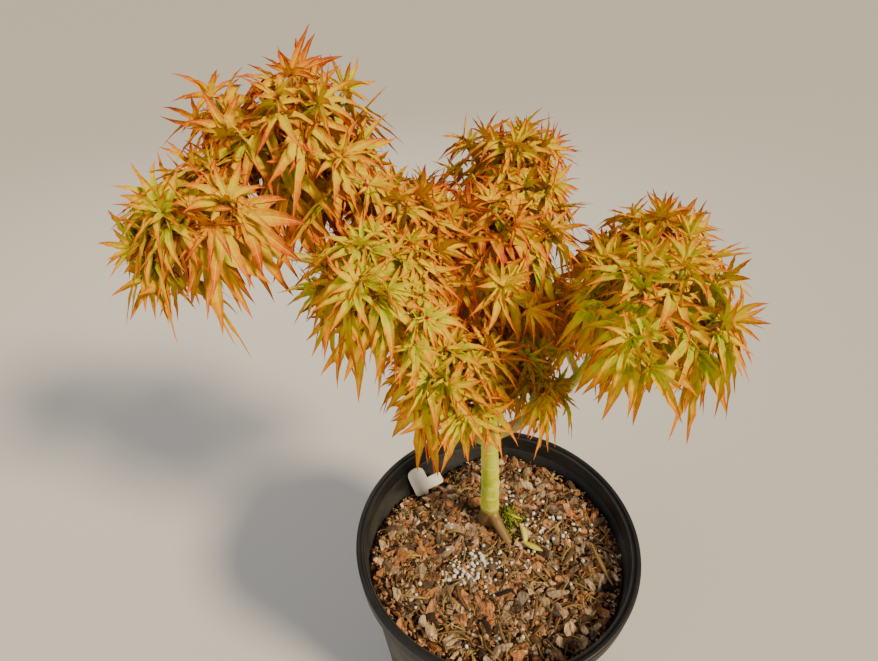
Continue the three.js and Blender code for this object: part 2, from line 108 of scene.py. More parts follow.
def across_axis(axis: np.ndarray) -> tuple[np.ndarray, np.ndarray]:
    """Give two directions square to an axis and to each other."""
    side = unit(np.cross(axis, EAST if abs(axis[0]) < 0.8 else UP))
    return side, np.cross(axis, side)


def tilted(axis: np.ndarray, side: np.ndarray, front: np.ndarray, angle: float, turn: float) -> np.ndarray:
    """Tilt a direction away from an axis by an angle, at a turn from side towards front."""
    round_axis = side * math.cos(turn) + front * math.sin(turn)
    return axis * math.cos(angle) + round_axis * math.sin(angle)


def ripple(points: np.ndarray, size: float, seed: int, waves: int = 7) -> np.ndarray:
    """Give a smooth random height for each point, from about -1 to 1.

    Args:
        points: Points in millimetres, one a row.
        size: The size of the lumps in millimetres.
        seed: The seed of the waves' directions.
        waves: How many waves are added.

    Returns:
        One height for each point.
    """
    dice = np.random.default_rng(seed)
    ways = unit(dice.normal(size=(waves, points.shape[-1])))
    phases = dice.uniform(0, 2 * math.pi, waves)
    rates = dice.uniform(0.6, 1.5, waves) * math.pi / size
    return np.sin(points @ (ways * rates[:, None]).T + phases).sum(axis=-1) / math.sqrt(waves * 2)


class Stream:
    """The repeatable stream of numbers from 0 to 1 that the solids were grown with."""

    MASK = 0xFFFFFFFF

    def __init__(self, seed: int) -> None:
        """Start the stream at a seed."""
        self.state = seed & self.MASK

    def next(self) -> float:
        """Give the next number.

        Returns:
            A number from 0 to 1.
        """
        self.state = (self.state + 0x6D2B79F5) & self.MASK
        mixed = ((self.state ^ (self.state >> 15)) * (self.state | 1)) & self.MASK
        mixed ^= (mixed + (mixed ^ (mixed >> 7)) * (mixed | 61)) & self.MASK
        return ((mixed ^ (mixed >> 14)) & self.MASK) / (self.MASK + 1)

    def between(self, low: float, high: float) -> float:
        """Give the next number as one between low and high."""
        return mix(low, high, self.next())


@dataclass
class Bend:
    """A curve from start to tip that bends towards a middle point, walked evenly by length."""

    start: np.ndarray
    middle: np.ndarray
    tip: np.ndarray
    steps: int = 200

    def __post_init__(self) -> None:
        """Measure the curve, so that a share of its length can be found."""
        self.knots = np.linspace(0, 1, self.steps + 1)
        gaps = np.diff(self._walk(self.knots), axis=0)
        self.lengths = np.concatenate([[0], np.cumsum(np.linalg.norm(gaps, axis=1))])

    def _walk(self, t: np.ndarray) -> np.ndarray:
        """Give the points at the curve's own parameter."""
        t = np.asarray(t)[..., None]
        return (1 - t) ** 2 * self.start + 2 * t * (1 - t) * self.middle + t * t * self.tip

    def _parameter(self, share: float | np.ndarray) -> np.ndarray:
        """Turn a share of the length into the curve's own parameter."""
        return np.interp(np.asarray(share) * self.lengths[-1], self.lengths, self.knots)

    @property
    def length(self) -> float:
        """The curve's length."""
        return float(self.lengths[-1])

    def point(self, share: float | np.ndarray) -> np.ndarray:
        """Give the point or points at a share of the length."""
        return self._walk(self._parameter(share))

    def tangent(self, share: float | np.ndarray) -> np.ndarray:
        """Give the direction of travel at a share of the length."""
        t = self._parameter(share)[..., None]
        return unit((1 - t) * (self.middle - self.start) + t * (self.tip - self.middle))


@dataclass
class Shell:
    """Points and faces of one piece, gathered until its mesh is made.

    A face row has four corner numbers, and the last is -1 on a triangle.
    """

    points: list[np.ndarray] = field(default_factory=list)
    faces: list[np.ndarray] = field(default_factory=list)
    slots: list[np.ndarray] = field(default_factory=list)
    count: int = 0

    def add(self, points: np.ndarray, faces: np.ndarray, slots: int | np.ndarray = 0) -> None:
        """Add points and the faces between them.

        Args:
            points: Points in millimetres.
            faces: Rows of three or four numbers of these points.
            slots: One material slot for all the faces, or one each.
        """
        faces = np.asarray(faces)
        if faces.shape[1] == 3:
            faces = np.column_stack([faces, np.full(len(faces), -1)])
        self.points.append(np.asarray(points, dtype=float).reshape(-1, 3))
        self.faces.append(np.where(faces >= 0, faces + self.count, -1))
        self.slots.append(np.broadcast_to(slots, len(faces)))
        self.count += len(self.points[-1])

    def make(self, name: str, materials: list[bpy.types.Material], smooth: bool = True) -> bpy.types.Object:
        """Make the mesh object, which rides on the pot's body.

        Args:
            name: The piece's name.
            materials: The materials of its slots.
            smooth: Whether its faces are shaded smoothly.

        Returns:
            The new object.
        """
        points = np.concatenate(self.points) * MM
        faces = np.concatenate(self.faces)
        sizes = (faces >= 0).sum(axis=1)
        corners = faces[faces >= 0]
        mesh = bpy.data.meshes.new(name)
        mesh.vertices.add(len(points))
        mesh.vertices.foreach_set("co", points.astype(np.float32).ravel())
        mesh.loops.add(len(corners))
        mesh.loops.foreach_set("vertex_index", corners.astype(np.int32))
        mesh.polygons.add(len(faces))
        mesh.polygons.foreach_set("loop_start", (np.cumsum(sizes) - sizes).astype(np.int32))
        mesh.polygons.foreach_set("material_index", np.concatenate(self.slots).astype(np.int32))
        mesh.polygons.foreach_set("use_smooth", np.full(len(faces), smooth))
        mesh.update(calc_edges=True)
        for material in materials:
            mesh.materials.append(material)
        piece = bpy.data.objects.new(name, mesh)
        bpy.context.scene.collection.objects.link(piece)
        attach(piece, ROOT)
        log.info("%s: %d points, %d triangles", name, len(points), int((sizes - 2).sum()))
        return piece


def grid_faces(rows: int, columns: int, closed: bool) -> np.ndarray:
    """Give the quads of a grid of points.

    Args:
        rows: Rows of points.
        columns: Points in a row.
        closed: Whether the last column joins the first.

    Returns:
        The quads, row by row.
    """
    here = np.arange(columns if closed else columns - 1)
    after = (here + 1) % columns
    start = np.arange(rows - 1)[:, None] * columns
    quads = [start + here, start + after, start + columns + after, start + columns + here]
    return np.stack(quads, axis=-1).reshape(-1, 4)


def closed_skin(rings: np.ndarray, foot: np.ndarray, head: np.ndarray) -> Skin:
    """Join rings of points into a wall, closed by a fan of triangles at each end.

    Args:
        rings: Rings of points, each running the same way round.
        foot: The middle of the first ring's fan.
        head: The middle of the last ring's fan.

    Returns:
        The skin's points and faces: the walls, then the foot's fan, then the head's.
    """
    count, sides = rings.shape[:2]
    points = np.concatenate([rings.reshape(-1, 3), [foot, head]])
    here = np.arange(sides)
    after = (here + 1) % sides
    last = (count - 1) * sides
    fans = np.stack([
        np.concatenate([after, last + here]),
        np.concatenate([here, last + after]),
        np.repeat([len(points) - 2, len(points) - 1], sides),
        np.full(2 * sides, -1),
    ], axis=1)
    return points, np.concatenate([grid_faces(count, sides, True), fans])


def tube(path: np.ndarray, radii: np.ndarray, sides: int) -> Skin:
    """Make a closed skin round a path.

    Args:
        path: Points along the middle.
        radii: One radius for each point, or one for each point and side.
        sides: Corners of the section.

    Returns:
        The skin's points and faces.
    """
    ways = unit(np.gradient(path, axis=0))
    side = across_axis(ways[0])[0]
    turns = turns_of(sides)
    radii = np.broadcast_to(np.asarray(radii).reshape(len(path), -1), (len(path), sides))
    rings = []
    for centre, way, radius in zip(path, ways, radii):
        side = unit(side - way * (side @ way))
        round_way = np.outer(np.cos(turns), side) + np.outer(np.sin(turns), np.cross(way, side))
        rings.append(centre + radius[:, None] * round_way)
    return closed_skin(np.array(rings), path[0], path[-1])


def ball(divisions: int) -> Skin:
    """Make a ball of radius one, with 20 triangles at one division and 80 at two.

    Args:
        divisions: How finely it is divided.

    Returns:
        Its points and faces.
    """
    made = bmesh.new()
    bmesh.ops.create_icosphere(made, subdivisions=divisions, radius=1)
    made.verts.index_update()
    points = np.array([vertex.co for vertex in made.verts])
    faces = np.array([[vertex.index for vertex in face.verts] for face in made.faces])
    made.free()
    return points, faces


BALL = ball(2)
LUMP = ball(1)


def feed(tree: bpy.types.NodeTree, socket: bpy.types.NodeSocket, value: Feed) -> None:
    """Link an input, or set its own value.

    Args:
        tree: The node tree.
        socket: The input.
        value: A node, whose first usable output is taken, an output, a value or a hex colour.
    """
    if isinstance(value, bpy.types.Node):
        value = next(output for output in value.outputs if output.enabled)
    if isinstance(value, bpy.types.NodeSocket):
        tree.links.new(value, socket)
    else:
        socket.default_value = linear(value) if isinstance(value, str) else value


def add_node(
    tree: bpy.types.NodeTree, kind: str, *values: Feed | None, stops: Stops | None = None, **named: Feed
) -> bpy.types.Node:
    """Add a node with its settings and links.

    Args:
        tree: The material's node tree.
        kind: Blender's name of the node's class, without ShaderNode.
        values: What goes to its usable inputs in their order, where None leaves one as it is.
        stops: Positions and hex colours of a colour ramp.
        named: The node's settings, and with a capital first letter its inputs by name.

    Returns:
        The new node.
    """
    node = tree.nodes.new(f"ShaderNode{kind}")
    for key, value in named.items():
        if key[0].islower():
            setattr(node, key, value)
    usable = [socket for socket in node.inputs if socket.enabled]
    feeds = [(socket, value) for socket, value in zip(usable, values) if value is not None]
    feeds += [(node.inputs[key], value) for key, value in named.items() if key[0].isupper()]
    for socket, value in feeds:
        feed(tree, socket, value)
    for i, (position, colour) in enumerate(stops or []):
        elements = node.color_ramp.elements
        stop = elements[i] if i < 2 else elements.new(position)
        stop.position = position
        stop.color = linear(colour)
    return node


def per_mm(size: float) -> float:
    """Give the pattern scale whose features are this many millimetres."""
    return 1 / (size * MM)


# Finishes


@dataclass(frozen=True)
class Finish:
    """A finish of one real material."""

    name: str
    roughness: float = 0.5
    ior: float = 1.46

    def make(self) -> bpy.types.Material:
        """Make the material, whose shader the finish's own pattern feeds.

        Returns:
            The new material.
        """
        material = bpy.data.materials.new(self.name)
        material.use_nodes = True
        tree = material.node_tree
        shader = tree.nodes["Principled BSDF"]
        for name, value in {"Roughness": self.roughness, "IOR": self.ior, **self.paint(tree)}.items():
            feed(tree, shader.inputs[name], value)
        return material

    def paint(self, tree: bpy.types.NodeTree) -> dict[str, Feed]:
        """Make the pattern, and give what goes to the shader's inputs. A plain finish has none."""
        return {}


@dataclass(frozen=True)
class LeafSkin(Finish):
    """A living leaf's thin skin in one plain autumn colour."""

    ior: float = 1.43
    colour: str = "#E0A526"
    specular: float = 0.12

    def paint(self, tree: bpy.types.NodeTree) -> dict[str, Feed]:
        """Give the leaf its one colour."""
        # The worn wax gives a soft sheen without highlights.
        return {"Base Color": self.colour, "Specular IOR Level": self.specular}


@dataclass(frozen=True)
class Polyethylene(Finish):
    """Black polyethylene, injection moulded and since dusted."""

    colour: str = "#0E0F11"
    dust: str = "#2C2E30"
    dust_from: float = 0.62
    dust_to: float = 1.12
    dusty_roughness: float = 0.85
    cloud: float = 45
    flattened: float = 1.6
    speck: float = 2
    speck_share: float = 0.35
    grain: float = 1
    grain_depth: float = 0.15
    grain_strength: float = 0.35

    def paint(self, tree: bpy.types.NodeTree) -> dict[str, Feed]:
        """Lay clouds and specks of dust, rougher than the plastic, over it.

        Args:
            tree: The material's nodes.

        Returns:
            What goes to the shader's inputs.
        """
        # The mould leaves an even dull black, which the dust turns greyer in places.
        place = add_node(tree, "TexCoord").outputs["Object"]
        flat = add_node(tree, "Mapping", place, Scale=(1, 1, self.flattened))
        # Dust drifts in flat clouds, broken up by specks.
        clouds = add_node(tree, "TexNoise", flat, Scale=per_mm(self.cloud), Detail=4.0, Roughness=0.55)
        specks = add_node(tree, "TexNoise", place, Scale=per_mm(self.speck), Detail=3.0, Roughness=0.7)
        both = add_node(tree, "Math", specks, self.speck_share, clouds, operation="MULTIPLY_ADD")
        dusty = add_node(tree, "MapRange", both, self.dust_from, self.dust_to)
        dulled = add_node(tree, "MapRange", dusty, None, None, self.roughness, self.dusty_roughness)
        # The mould's grain is finer than 0.5 mm and is drawn at 1 mm, so that it shows.
        grain = add_node(tree, "TexNoise", place, Scale=per_mm(self.grain), Detail=2.0)
        depth = self.grain_depth * MM
        return {
            "Base Color": add_node(tree, "Mix", dusty, self.colour, self.dust, data_type="RGBA"),
            "Roughness": dulled,
            "Normal": add_node(tree, "Bump", Height=grain, Distance=depth, Strength=self.grain_strength),
        }


@dataclass(frozen=True)
class SheetPlastic(Finish):
    """White polystyrene sheet, die cut.

    Soiled_to gives the heights where the soil on it begins to fade and where it ends. The splashes make
    both ragged, and about 6 mm higher.
    """

    ior: float = 1.59
    colour: str = "#FFFFFC"
    soiled: str = "#C8B898"
    soiled_to: Span = (161, 172)
    splash: float = 2.5
    splash_height: float = 12

    def paint(self, tree: bpy.types.NodeTree) -> dict[str, Feed]:
        """Fade the white into splashed soil near the ground.

        Args:
            tree: The material's nodes.

        Returns:
            What goes to the shader's inputs.
        """
        # The rolled sheet is bright and smooth, and only the splashes near the soil dull it.
        place = add_node(tree, "TexCoord").outputs["Object"]
        height = add_node(tree, "SeparateXYZ", place).outputs["Z"]
        splash = add_node(tree, "TexNoise", place, Scale=per_mm(self.splash), Detail=4.0)
        ragged = add_node(tree, "Math", splash, -self.splash_height * MM, height, operation="MULTIPLY_ADD")
        clean = add_node(tree, "MapRange", ragged, *np.multiply(self.soiled_to, MM))
        return {"Base Color": add_node(tree, "Mix", clean, self.soiled, self.colour, data_type="RGBA")}


@dataclass(frozen=True)
class SplitFibre(Finish):
    """Broken bark or split straw: every piece has its own shade, and pores run along its fibres."""

    shades: tuple[str, ...] = ()
    grain: float = 1.6
    stretch: Place = (1, 0.35, 0.7)
    pore: str = "#6A6058"
    pores_from: float = 0.34
    pores_to: float = 0.62
    strength: float = 0.85
    relief: float = 0.6

    def paint(self, tree: bpy.types.NodeTree) -> dict[str, Feed]:
        """Deal a shade to each piece and streak it with dark pores.

        Args:
            tree: The material's nodes.

        Returns:
            What goes to the shader's inputs.
        """
        place = add_node(tree, "TexCoord").outputs["Object"]
        island = add_node(tree, "NewGeometry").outputs["Random Per Island"]
        stops = [(i / (len(self.shades) - 1), shade) for i, shade in enumerate(self.shades)]
        piece = add_node(tree, "ValToRGB", island, stops=stops)
        along = add_node(tree, "Mapping", place, Scale=self.stretch)
        streaks = add_node(tree, "TexNoise", along, Scale=per_mm(self.grain), Detail=5.0, Roughness=0.65)
        dark_to_clear = [(self.pores_from, self.pore), (self.pores_to, "#FFFFFF")]
        pores = add_node(tree, "ValToRGB", streaks, stops=dark_to_clear)
        colour = add_node(tree, "Mix", self.strength, piece, pores, data_type="RGBA", blend_type="MULTIPLY")
        relief = add_node(tree, "Bump", Height=streaks, Distance=self.relief * MM)
        return {"Base Color": colour, "Normal": relief}


@dataclass(frozen=True)
class PottingMix(Finish):
    """Composted bark fines, moist."""

    crumb: float = 2.4
    relief: float = 0.9
    browns: tuple[tuple[float, str], ...] = (
        (0.0, "#1E1610"), (0.5, "#422F20"), (0.85, "#6E4C30"), (1.0, "#A8825A"),
    )

    def paint(self, tree: bpy.types.NodeTree) -> dict[str, Feed]:
        """Scatter crumbs of several browns.

        Args:
            tree: The material's nodes.

        Returns:
            What goes to the shader's inputs.
        """
        # Wet rot darkens it nearly to black, and a few drier crumbs stay brown.
        place = add_node(tree, "TexCoord").outputs["Object"]
        crumbs = add_node(tree, "TexVoronoi", place, Scale=per_mm(self.crumb))
        tone = add_node(tree, "SeparateColor", crumbs.outputs["Color"])
        depth = self.relief * MM
        return {
            "Base Color": add_node(tree, "ValToRGB", tone, stops=list(self.browns)),
            "Normal": add_node(tree, "Bump", Height=crumbs.outputs["Distance"], Distance=depth),
        }


@dataclass(frozen=True)
class Mottled(Finish):
    """A living or coated skin with a soft mottle, and a shade for each piece where they differ."""

    shades: tuple[tuple[float, str], ...] = ()
    patch: float = 1.5
    detail: float = 2.0
    strength: float = 0.5
    by_piece: bool = True
    relief: float = 0.0

    def paint(self, tree: bpy.types.NodeTree) -> dict[str, Feed]:
        """Run the shades through the mottle.

        Args:
            tree: The material's nodes.

        Returns:
            What goes to the shader's inputs.
        """
        place = add_node(tree, "TexCoord").outputs["Object"]
        mottle = shade = add_node(tree, "TexNoise", place, Scale=per_mm(self.patch), Detail=self.detail)
        if self.by_piece:
            island = add_node(tree, "NewGeometry").outputs["Random Per Island"]
            shade = add_node(tree, "Math", mottle, self.strength, island, operation="MULTIPLY_ADD")
        looks = {"Base Color": add_node(tree, "ValToRGB", shade, stops=list(self.shades))}
        if self.relief:
            looks["Normal"] = add_node(tree, "Bump", Height=mottle, Distance=self.relief * MM)
        return looks


@dataclass(frozen=True)
class GreenBark(Finish):
    """Young maple bark, grown smooth, with waxy bloom, ring scars, earth at its foot and corky knuckles.

    Earth_to, cork_from and cork_to give the heights that a border fades between. They are ragged, and
    show about 10 mm higher.
    """

    greens: tuple[tuple[float, str], ...] = ((0.3, "#AEC41A"), (0.5, "#D6E02A"), (0.72, "#F2F056"))
    patch: float = 9
    drawn_out: float = 0.35
    bloom: str = "#F0E6A4"
    blotch: float = 5
    wax_between: Span = (0.52, 0.68)
    wax: float = 0.6
    ring_gap: float = 27.0
    wobble: float = 9
    scar_between: Span = (0.9, 0.97)
    scar: float = 0.5
    raggedness: float = 20
    earth: str = "#86683C"
    earth_to: Span = (200, 193)
    cork: str = "#B98E60"
    cork_from: Span = (283, 299)
    cork_to: Span = (317, 305)
    corkiness: float = 0.8
    relief: float = 0.35
    strength: float = 0.7

    def paint(self, tree: bpy.types.NodeTree) -> dict[str, Feed]:
        """Lay the bloom, the ring scars, the earth and the cork over the greens.

        Args:
            tree: The material's nodes.

        Returns:
            What goes to the shader's inputs.
        """
        # The living skin shows green through a satin face, and the wax pales it in blotches.
        place = add_node(tree, "TexCoord").outputs["Object"]
        height = add_node(tree, "SeparateXYZ", place).outputs["Z"]
        # The green varies in patches drawn out along the stem.
        along = add_node(tree, "Mapping", place, Scale=(1, 1, self.drawn_out))
        patches = add_node(tree, "TexNoise", along, Scale=per_mm(self.patch), Detail=5.0, Roughness=0.6)
        colour = add_node(tree, "ValToRGB", patches, stops=list(self.greens))
        blotches = add_node(tree, "TexNoise", place, Scale=per_mm(self.blotch), Detail=6.0, Roughness=0.7)
        waxy = add_node(tree, "MapRange", blotches, *self.wax_between, None, self.wax)
        # Ring scars stand a year's growth apart, where the buds sat.
        wobble = add_node(tree, "Math", patches, self.wobble * MM, height, operation="MULTIPLY_ADD")
        years = add_node(tree, "Math", wobble, per_mm(self.ring_gap), operation="MULTIPLY")
        saw = add_node(tree, "Math", years, operation="FRACT")
        scar = add_node(tree, "MapRange", saw, *self.scar_between, None, self.scar)
        ragged = add_node(tree, "Math", blotches, -self.raggedness * MM, height, operation="MULTIPLY_ADD")
        borders = [(self.earth_to, 1.0), (self.cork_from, 1.0), (self.cork_to, self.corkiness)]
        earthy, above, below = [
            add_node(tree, "MapRange", ragged, *np.multiply(border, MM), None, share)
            for border, share in borders
        ]
        corky = add_node(tree, "Math", above, below, operation="MULTIPLY")
        layers = [(waxy, self.bloom), (scar, self.bloom), (earthy, self.earth), (corky, self.cork)]
        for share, shade in layers:
            colour = add_node(tree, "Mix", share, colour, shade, data_type="RGBA")
        depth = self.relief * MM
        relief = add_node(tree, "Bump", Height=blotches, Distance=depth, Strength=self.strength)
        return {"Base Color": colour, "Normal": relief}


class Tint(Enum):
    """The leaves' autumn colours, in the order that a leaf turns through them."""

    LIME = "#B0C000"
    YELLOW = "#D8C800"
    GOLD = "#E0B800"
    AMBER = "#DCA000"
    ORANGE = "#DC8600"
    ROSE = "#D06A14"
    CRIMSON = "#B84824"


TINTS = list(Tint)
RIB_SLOT = len(TINTS)
PETIOLE_SLOT = RIB_SLOT + 1

# Moulded polyethylene gives the pot a dull even black, and the inside holds more dust.
POT_OUTSIDE = Polyethylene("moulded_polyethylene", 0.52)
POT_INSIDE = Polyethylene("dusty_polyethylene", 0.5, colour="#191B1C", dust="#454643", dust_from=0.57)
LABEL = SheetPlastic("white_sheet_polystyrene", 0.38)
FINES = PottingMix("composted_bark_fines", 0.95)
# Broken bark shows orange cork, brown wood and grey weathered faces, all matt.
BARK_SHADES = (
    "#2C2014", "#7C5A38", "#BE7E46", "#E29A60", "#A08664", "#F6D2AA", "#503826", "#DCC4A2",
)
# Split straw shines little and shows its grain as fine darker lines, some of it gone grey.
STRAW = SplitFibre(
    "dry_straw", 0.8, shades=("#44301C", "#7C5C32", "#A4854A", "#5A442E", "#CDB262", "#8A7454"),
    grain=0.9, stretch=(1, 1, 1), pore="#8C8478", pores_to=0.6, strength=0.8, relief=0.25,
)
# Tumbled resin leaves the prills as soft matt beads, white to cream.
PRILL = Mottled("resin_coated_prill", 0.55, patch=1.2, strength=0.3, shades=(
    (0.0, "#BDB6A4"), (0.35, "#DDD9CE"), (1.0, "#F2F1EC"),
))
# Moss scatters light between its fronds, so it looks soft and deep.
MOSS = Mottled("cushion_moss", 0.75, relief=0.3, shades=(
    (0.15, "#2F4412"), (0.7, "#5E7A1E"), (1.0, "#A3A83C"),
))
# A fallen leaf dries to a matt yellow with green left in it.
FALLEN_LEAF = Mottled("curled_fallen_leaf", 0.6, relief=0.3, shades=(
    (0.15, "#8C9420"), (0.7, "#C6BE30"), (1.0, "#EADB6A"),
))
# First-year twigs are smooth and green, flushed red where the light falls on them.
TWIG = Mottled("first_year_maple_twig", 0.45, patch=12, detail=4.0, by_piece=False, shades=(
    (0.35, "#98A42C"), (0.55, "#B8AC3C"), (0.75, "#A8583A"),
))
TRUNK_BARK = GreenBark("young_maple_bark", 0.5)
BOUGH_BARK = GreenBark(
    "second_year_maple_bark", 0.48, cork_from=(283, 301), cork_to=(319, 307), ring_gap=23.0
)
LEAF_SKINS = [LeafSkin(f"{tint.name.lower()}_leaf", 0.65, colour=tint.value) for tint in Tint] + [
    LeafSkin("pale_leaf_rib", 0.6, colour="#E2D024"),
    LeafSkin("leaf_petiole", 0.45, colour="#B8702A"),
]
BUD_SCALE = LeafSkin("red_bud_scale", 0.42, colour="#A02A20")


# The pot and what is in it


@dataclass
class NurseryPot:
    """The moulded pot: a tapering wall, a double-lipped rim, a foot band and drainage holes."""

    height: float = 212
    rim_radius: float = 110
    top_radius: float = 104
    foot_radius: float = 88
    wall: float = 2
    rim_depth: float = 16
    lip: float = 1.8
    ledge: float = 3
    foot_band: float = 14
    chamfer: float = 2
    inside_heights: Span = (60, 130)
    outside_places: tuple[Span, ...] = ((0.66, 132), (0.33, 74))
    sides: int = 160
    inside_rows: int = 8
    edge_deg: float = 38
    holes: int = 6
    hole_radius: float = 8
    hole_length: float = 26
    hole_sides: int = 28

    def inner_radius(self, z: float | np.ndarray) -> float | np.ndarray:
        """Give the inside radius at a height."""
        share = (z - self.wall) / (self.height - self.rim_depth - self.wall)
        return mix(self.foot_radius - self.wall - self.chamfer, self.top_radius - self.wall, share)

    def outline(self) -> list[Span]:
        """Give the wall's section.

        Returns:
            Radii and heights, from the middle of the floor up the inside and down the outside.
        """
        top, rim, lip = self.height, self.rim_radius, self.lip
        base = top - self.rim_depth
        inner = rim - 2 * lip - self.ledge
        # The small offsets are the mould's draft and its rounded corners.
        inside = [
            (0, self.wall),
            (self.foot_radius - self.wall - self.chamfer, self.wall),
            *[(self.inner_radius(z), z) for z in self.inside_heights],
            (self.top_radius - self.wall, base - 1),
            (self.top_radius - self.wall + 0.8, base),
        ]
        ridge = [
            (inner - 0.5, top - lip - 1.0),
            (inner - 0.3, top - lip + 0.1),
            (inner + 0.6, top - lip + 0.3),
        ]
        ledge = [(inner + 1.0, top - lip - 0.5), (rim - 2 * lip - 0.2, top - lip - 0.5)]
        angles = np.radians(np.linspace(170, -20, 9))
        roll = [(rim - lip + lip * math.cos(a), top - lip + lip * math.sin(a)) for a in angles]
        outside = [
            (rim - 0.3, top - 4.2),
            (rim - 0.5, top - 9),
            (rim - self.wall / 2, base + 0.4),
            (rim - self.wall / 2 - 0.5, base),
            (self.top_radius + 0.4, base),
            (self.top_radius, base - 0.6),
            *[(mix(self.foot_radius, self.top_radius, share), z) for share, z in self.outside_places],
            (self.foot_radius + 0.9, self.foot_band + 1.2),
            (self.foot_radius, self.foot_band),
            (self.foot_radius, self.chamfer),
            (self.foot_radius - 0.6, 0.6),
            (self.foot_radius - self.chamfer, 0),
            (0, 0),
        ]
        return inside + ridge + ledge + roll + outside

    def build(self) -> None:
        """Turn the wall's section round the axis, cut the drainage holes and dress the pot."""
        section = np.array(self.outline())[::-1]
        turns = turns_of(self.sides)
        rows = section[1:-1]
        rings = np.stack([
            np.outer(rows[:, 0], np.cos(turns)),
            np.outer(rows[:, 0], np.sin(turns)),
            np.repeat(rows[:, 1:], self.sides, axis=1),
        ], axis=-1)
        inside = np.arange(len(rows) - 1) >= len(rows) - 1 - self.inside_rows
        shell = Shell()
        slots = np.repeat([*inside, 0, 1], self.sides)
        shell.add(*closed_skin(rings, np.zeros(3), UP * self.wall), slots)
        piece = shell.make("nursery_pot", [POT_OUTSIDE.make(), POT_INSIDE.make()])
        self.drill(piece)
        piece.data.set_sharp_from_angle(angle=math.radians(self.edge_deg))
        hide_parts("pot")

    def drill(self, piece: bpy.types.Object) -> None:
        """Cut the drainage holes through the corner of the foot.

        Args:
            piece: The pot.
        """
        cutters = Shell()
        for i in range(self.holes):
            turn = 2 * math.pi * (i + 0.5) / self.holes
            way = np.array([math.cos(turn), math.sin(turn), 0])
            reaches = self.foot_radius + self.hole_length * np.array([[-0.5], [0.5]])
            path = way * reaches + UP * self.wall / 2
            cutters.add(*tube(path, np.full(2, self.hole_radius), self.hole_sides))
        cutter = cutters.make("drill", [])
        cut = piece.modifiers.new("drainage", "BOOLEAN")
        cut.operation = "DIFFERENCE"
        cut.object = cutter
        bpy.context.view_layer.update()
        drilled = piece.evaluated_get(bpy.context.evaluated_depsgraph_get())
        mesh = bpy.data.meshes.new_from_object(drilled)
        piece.modifiers.clear()
        piece.data = mesh
        bpy.data.objects.remove(cutter)


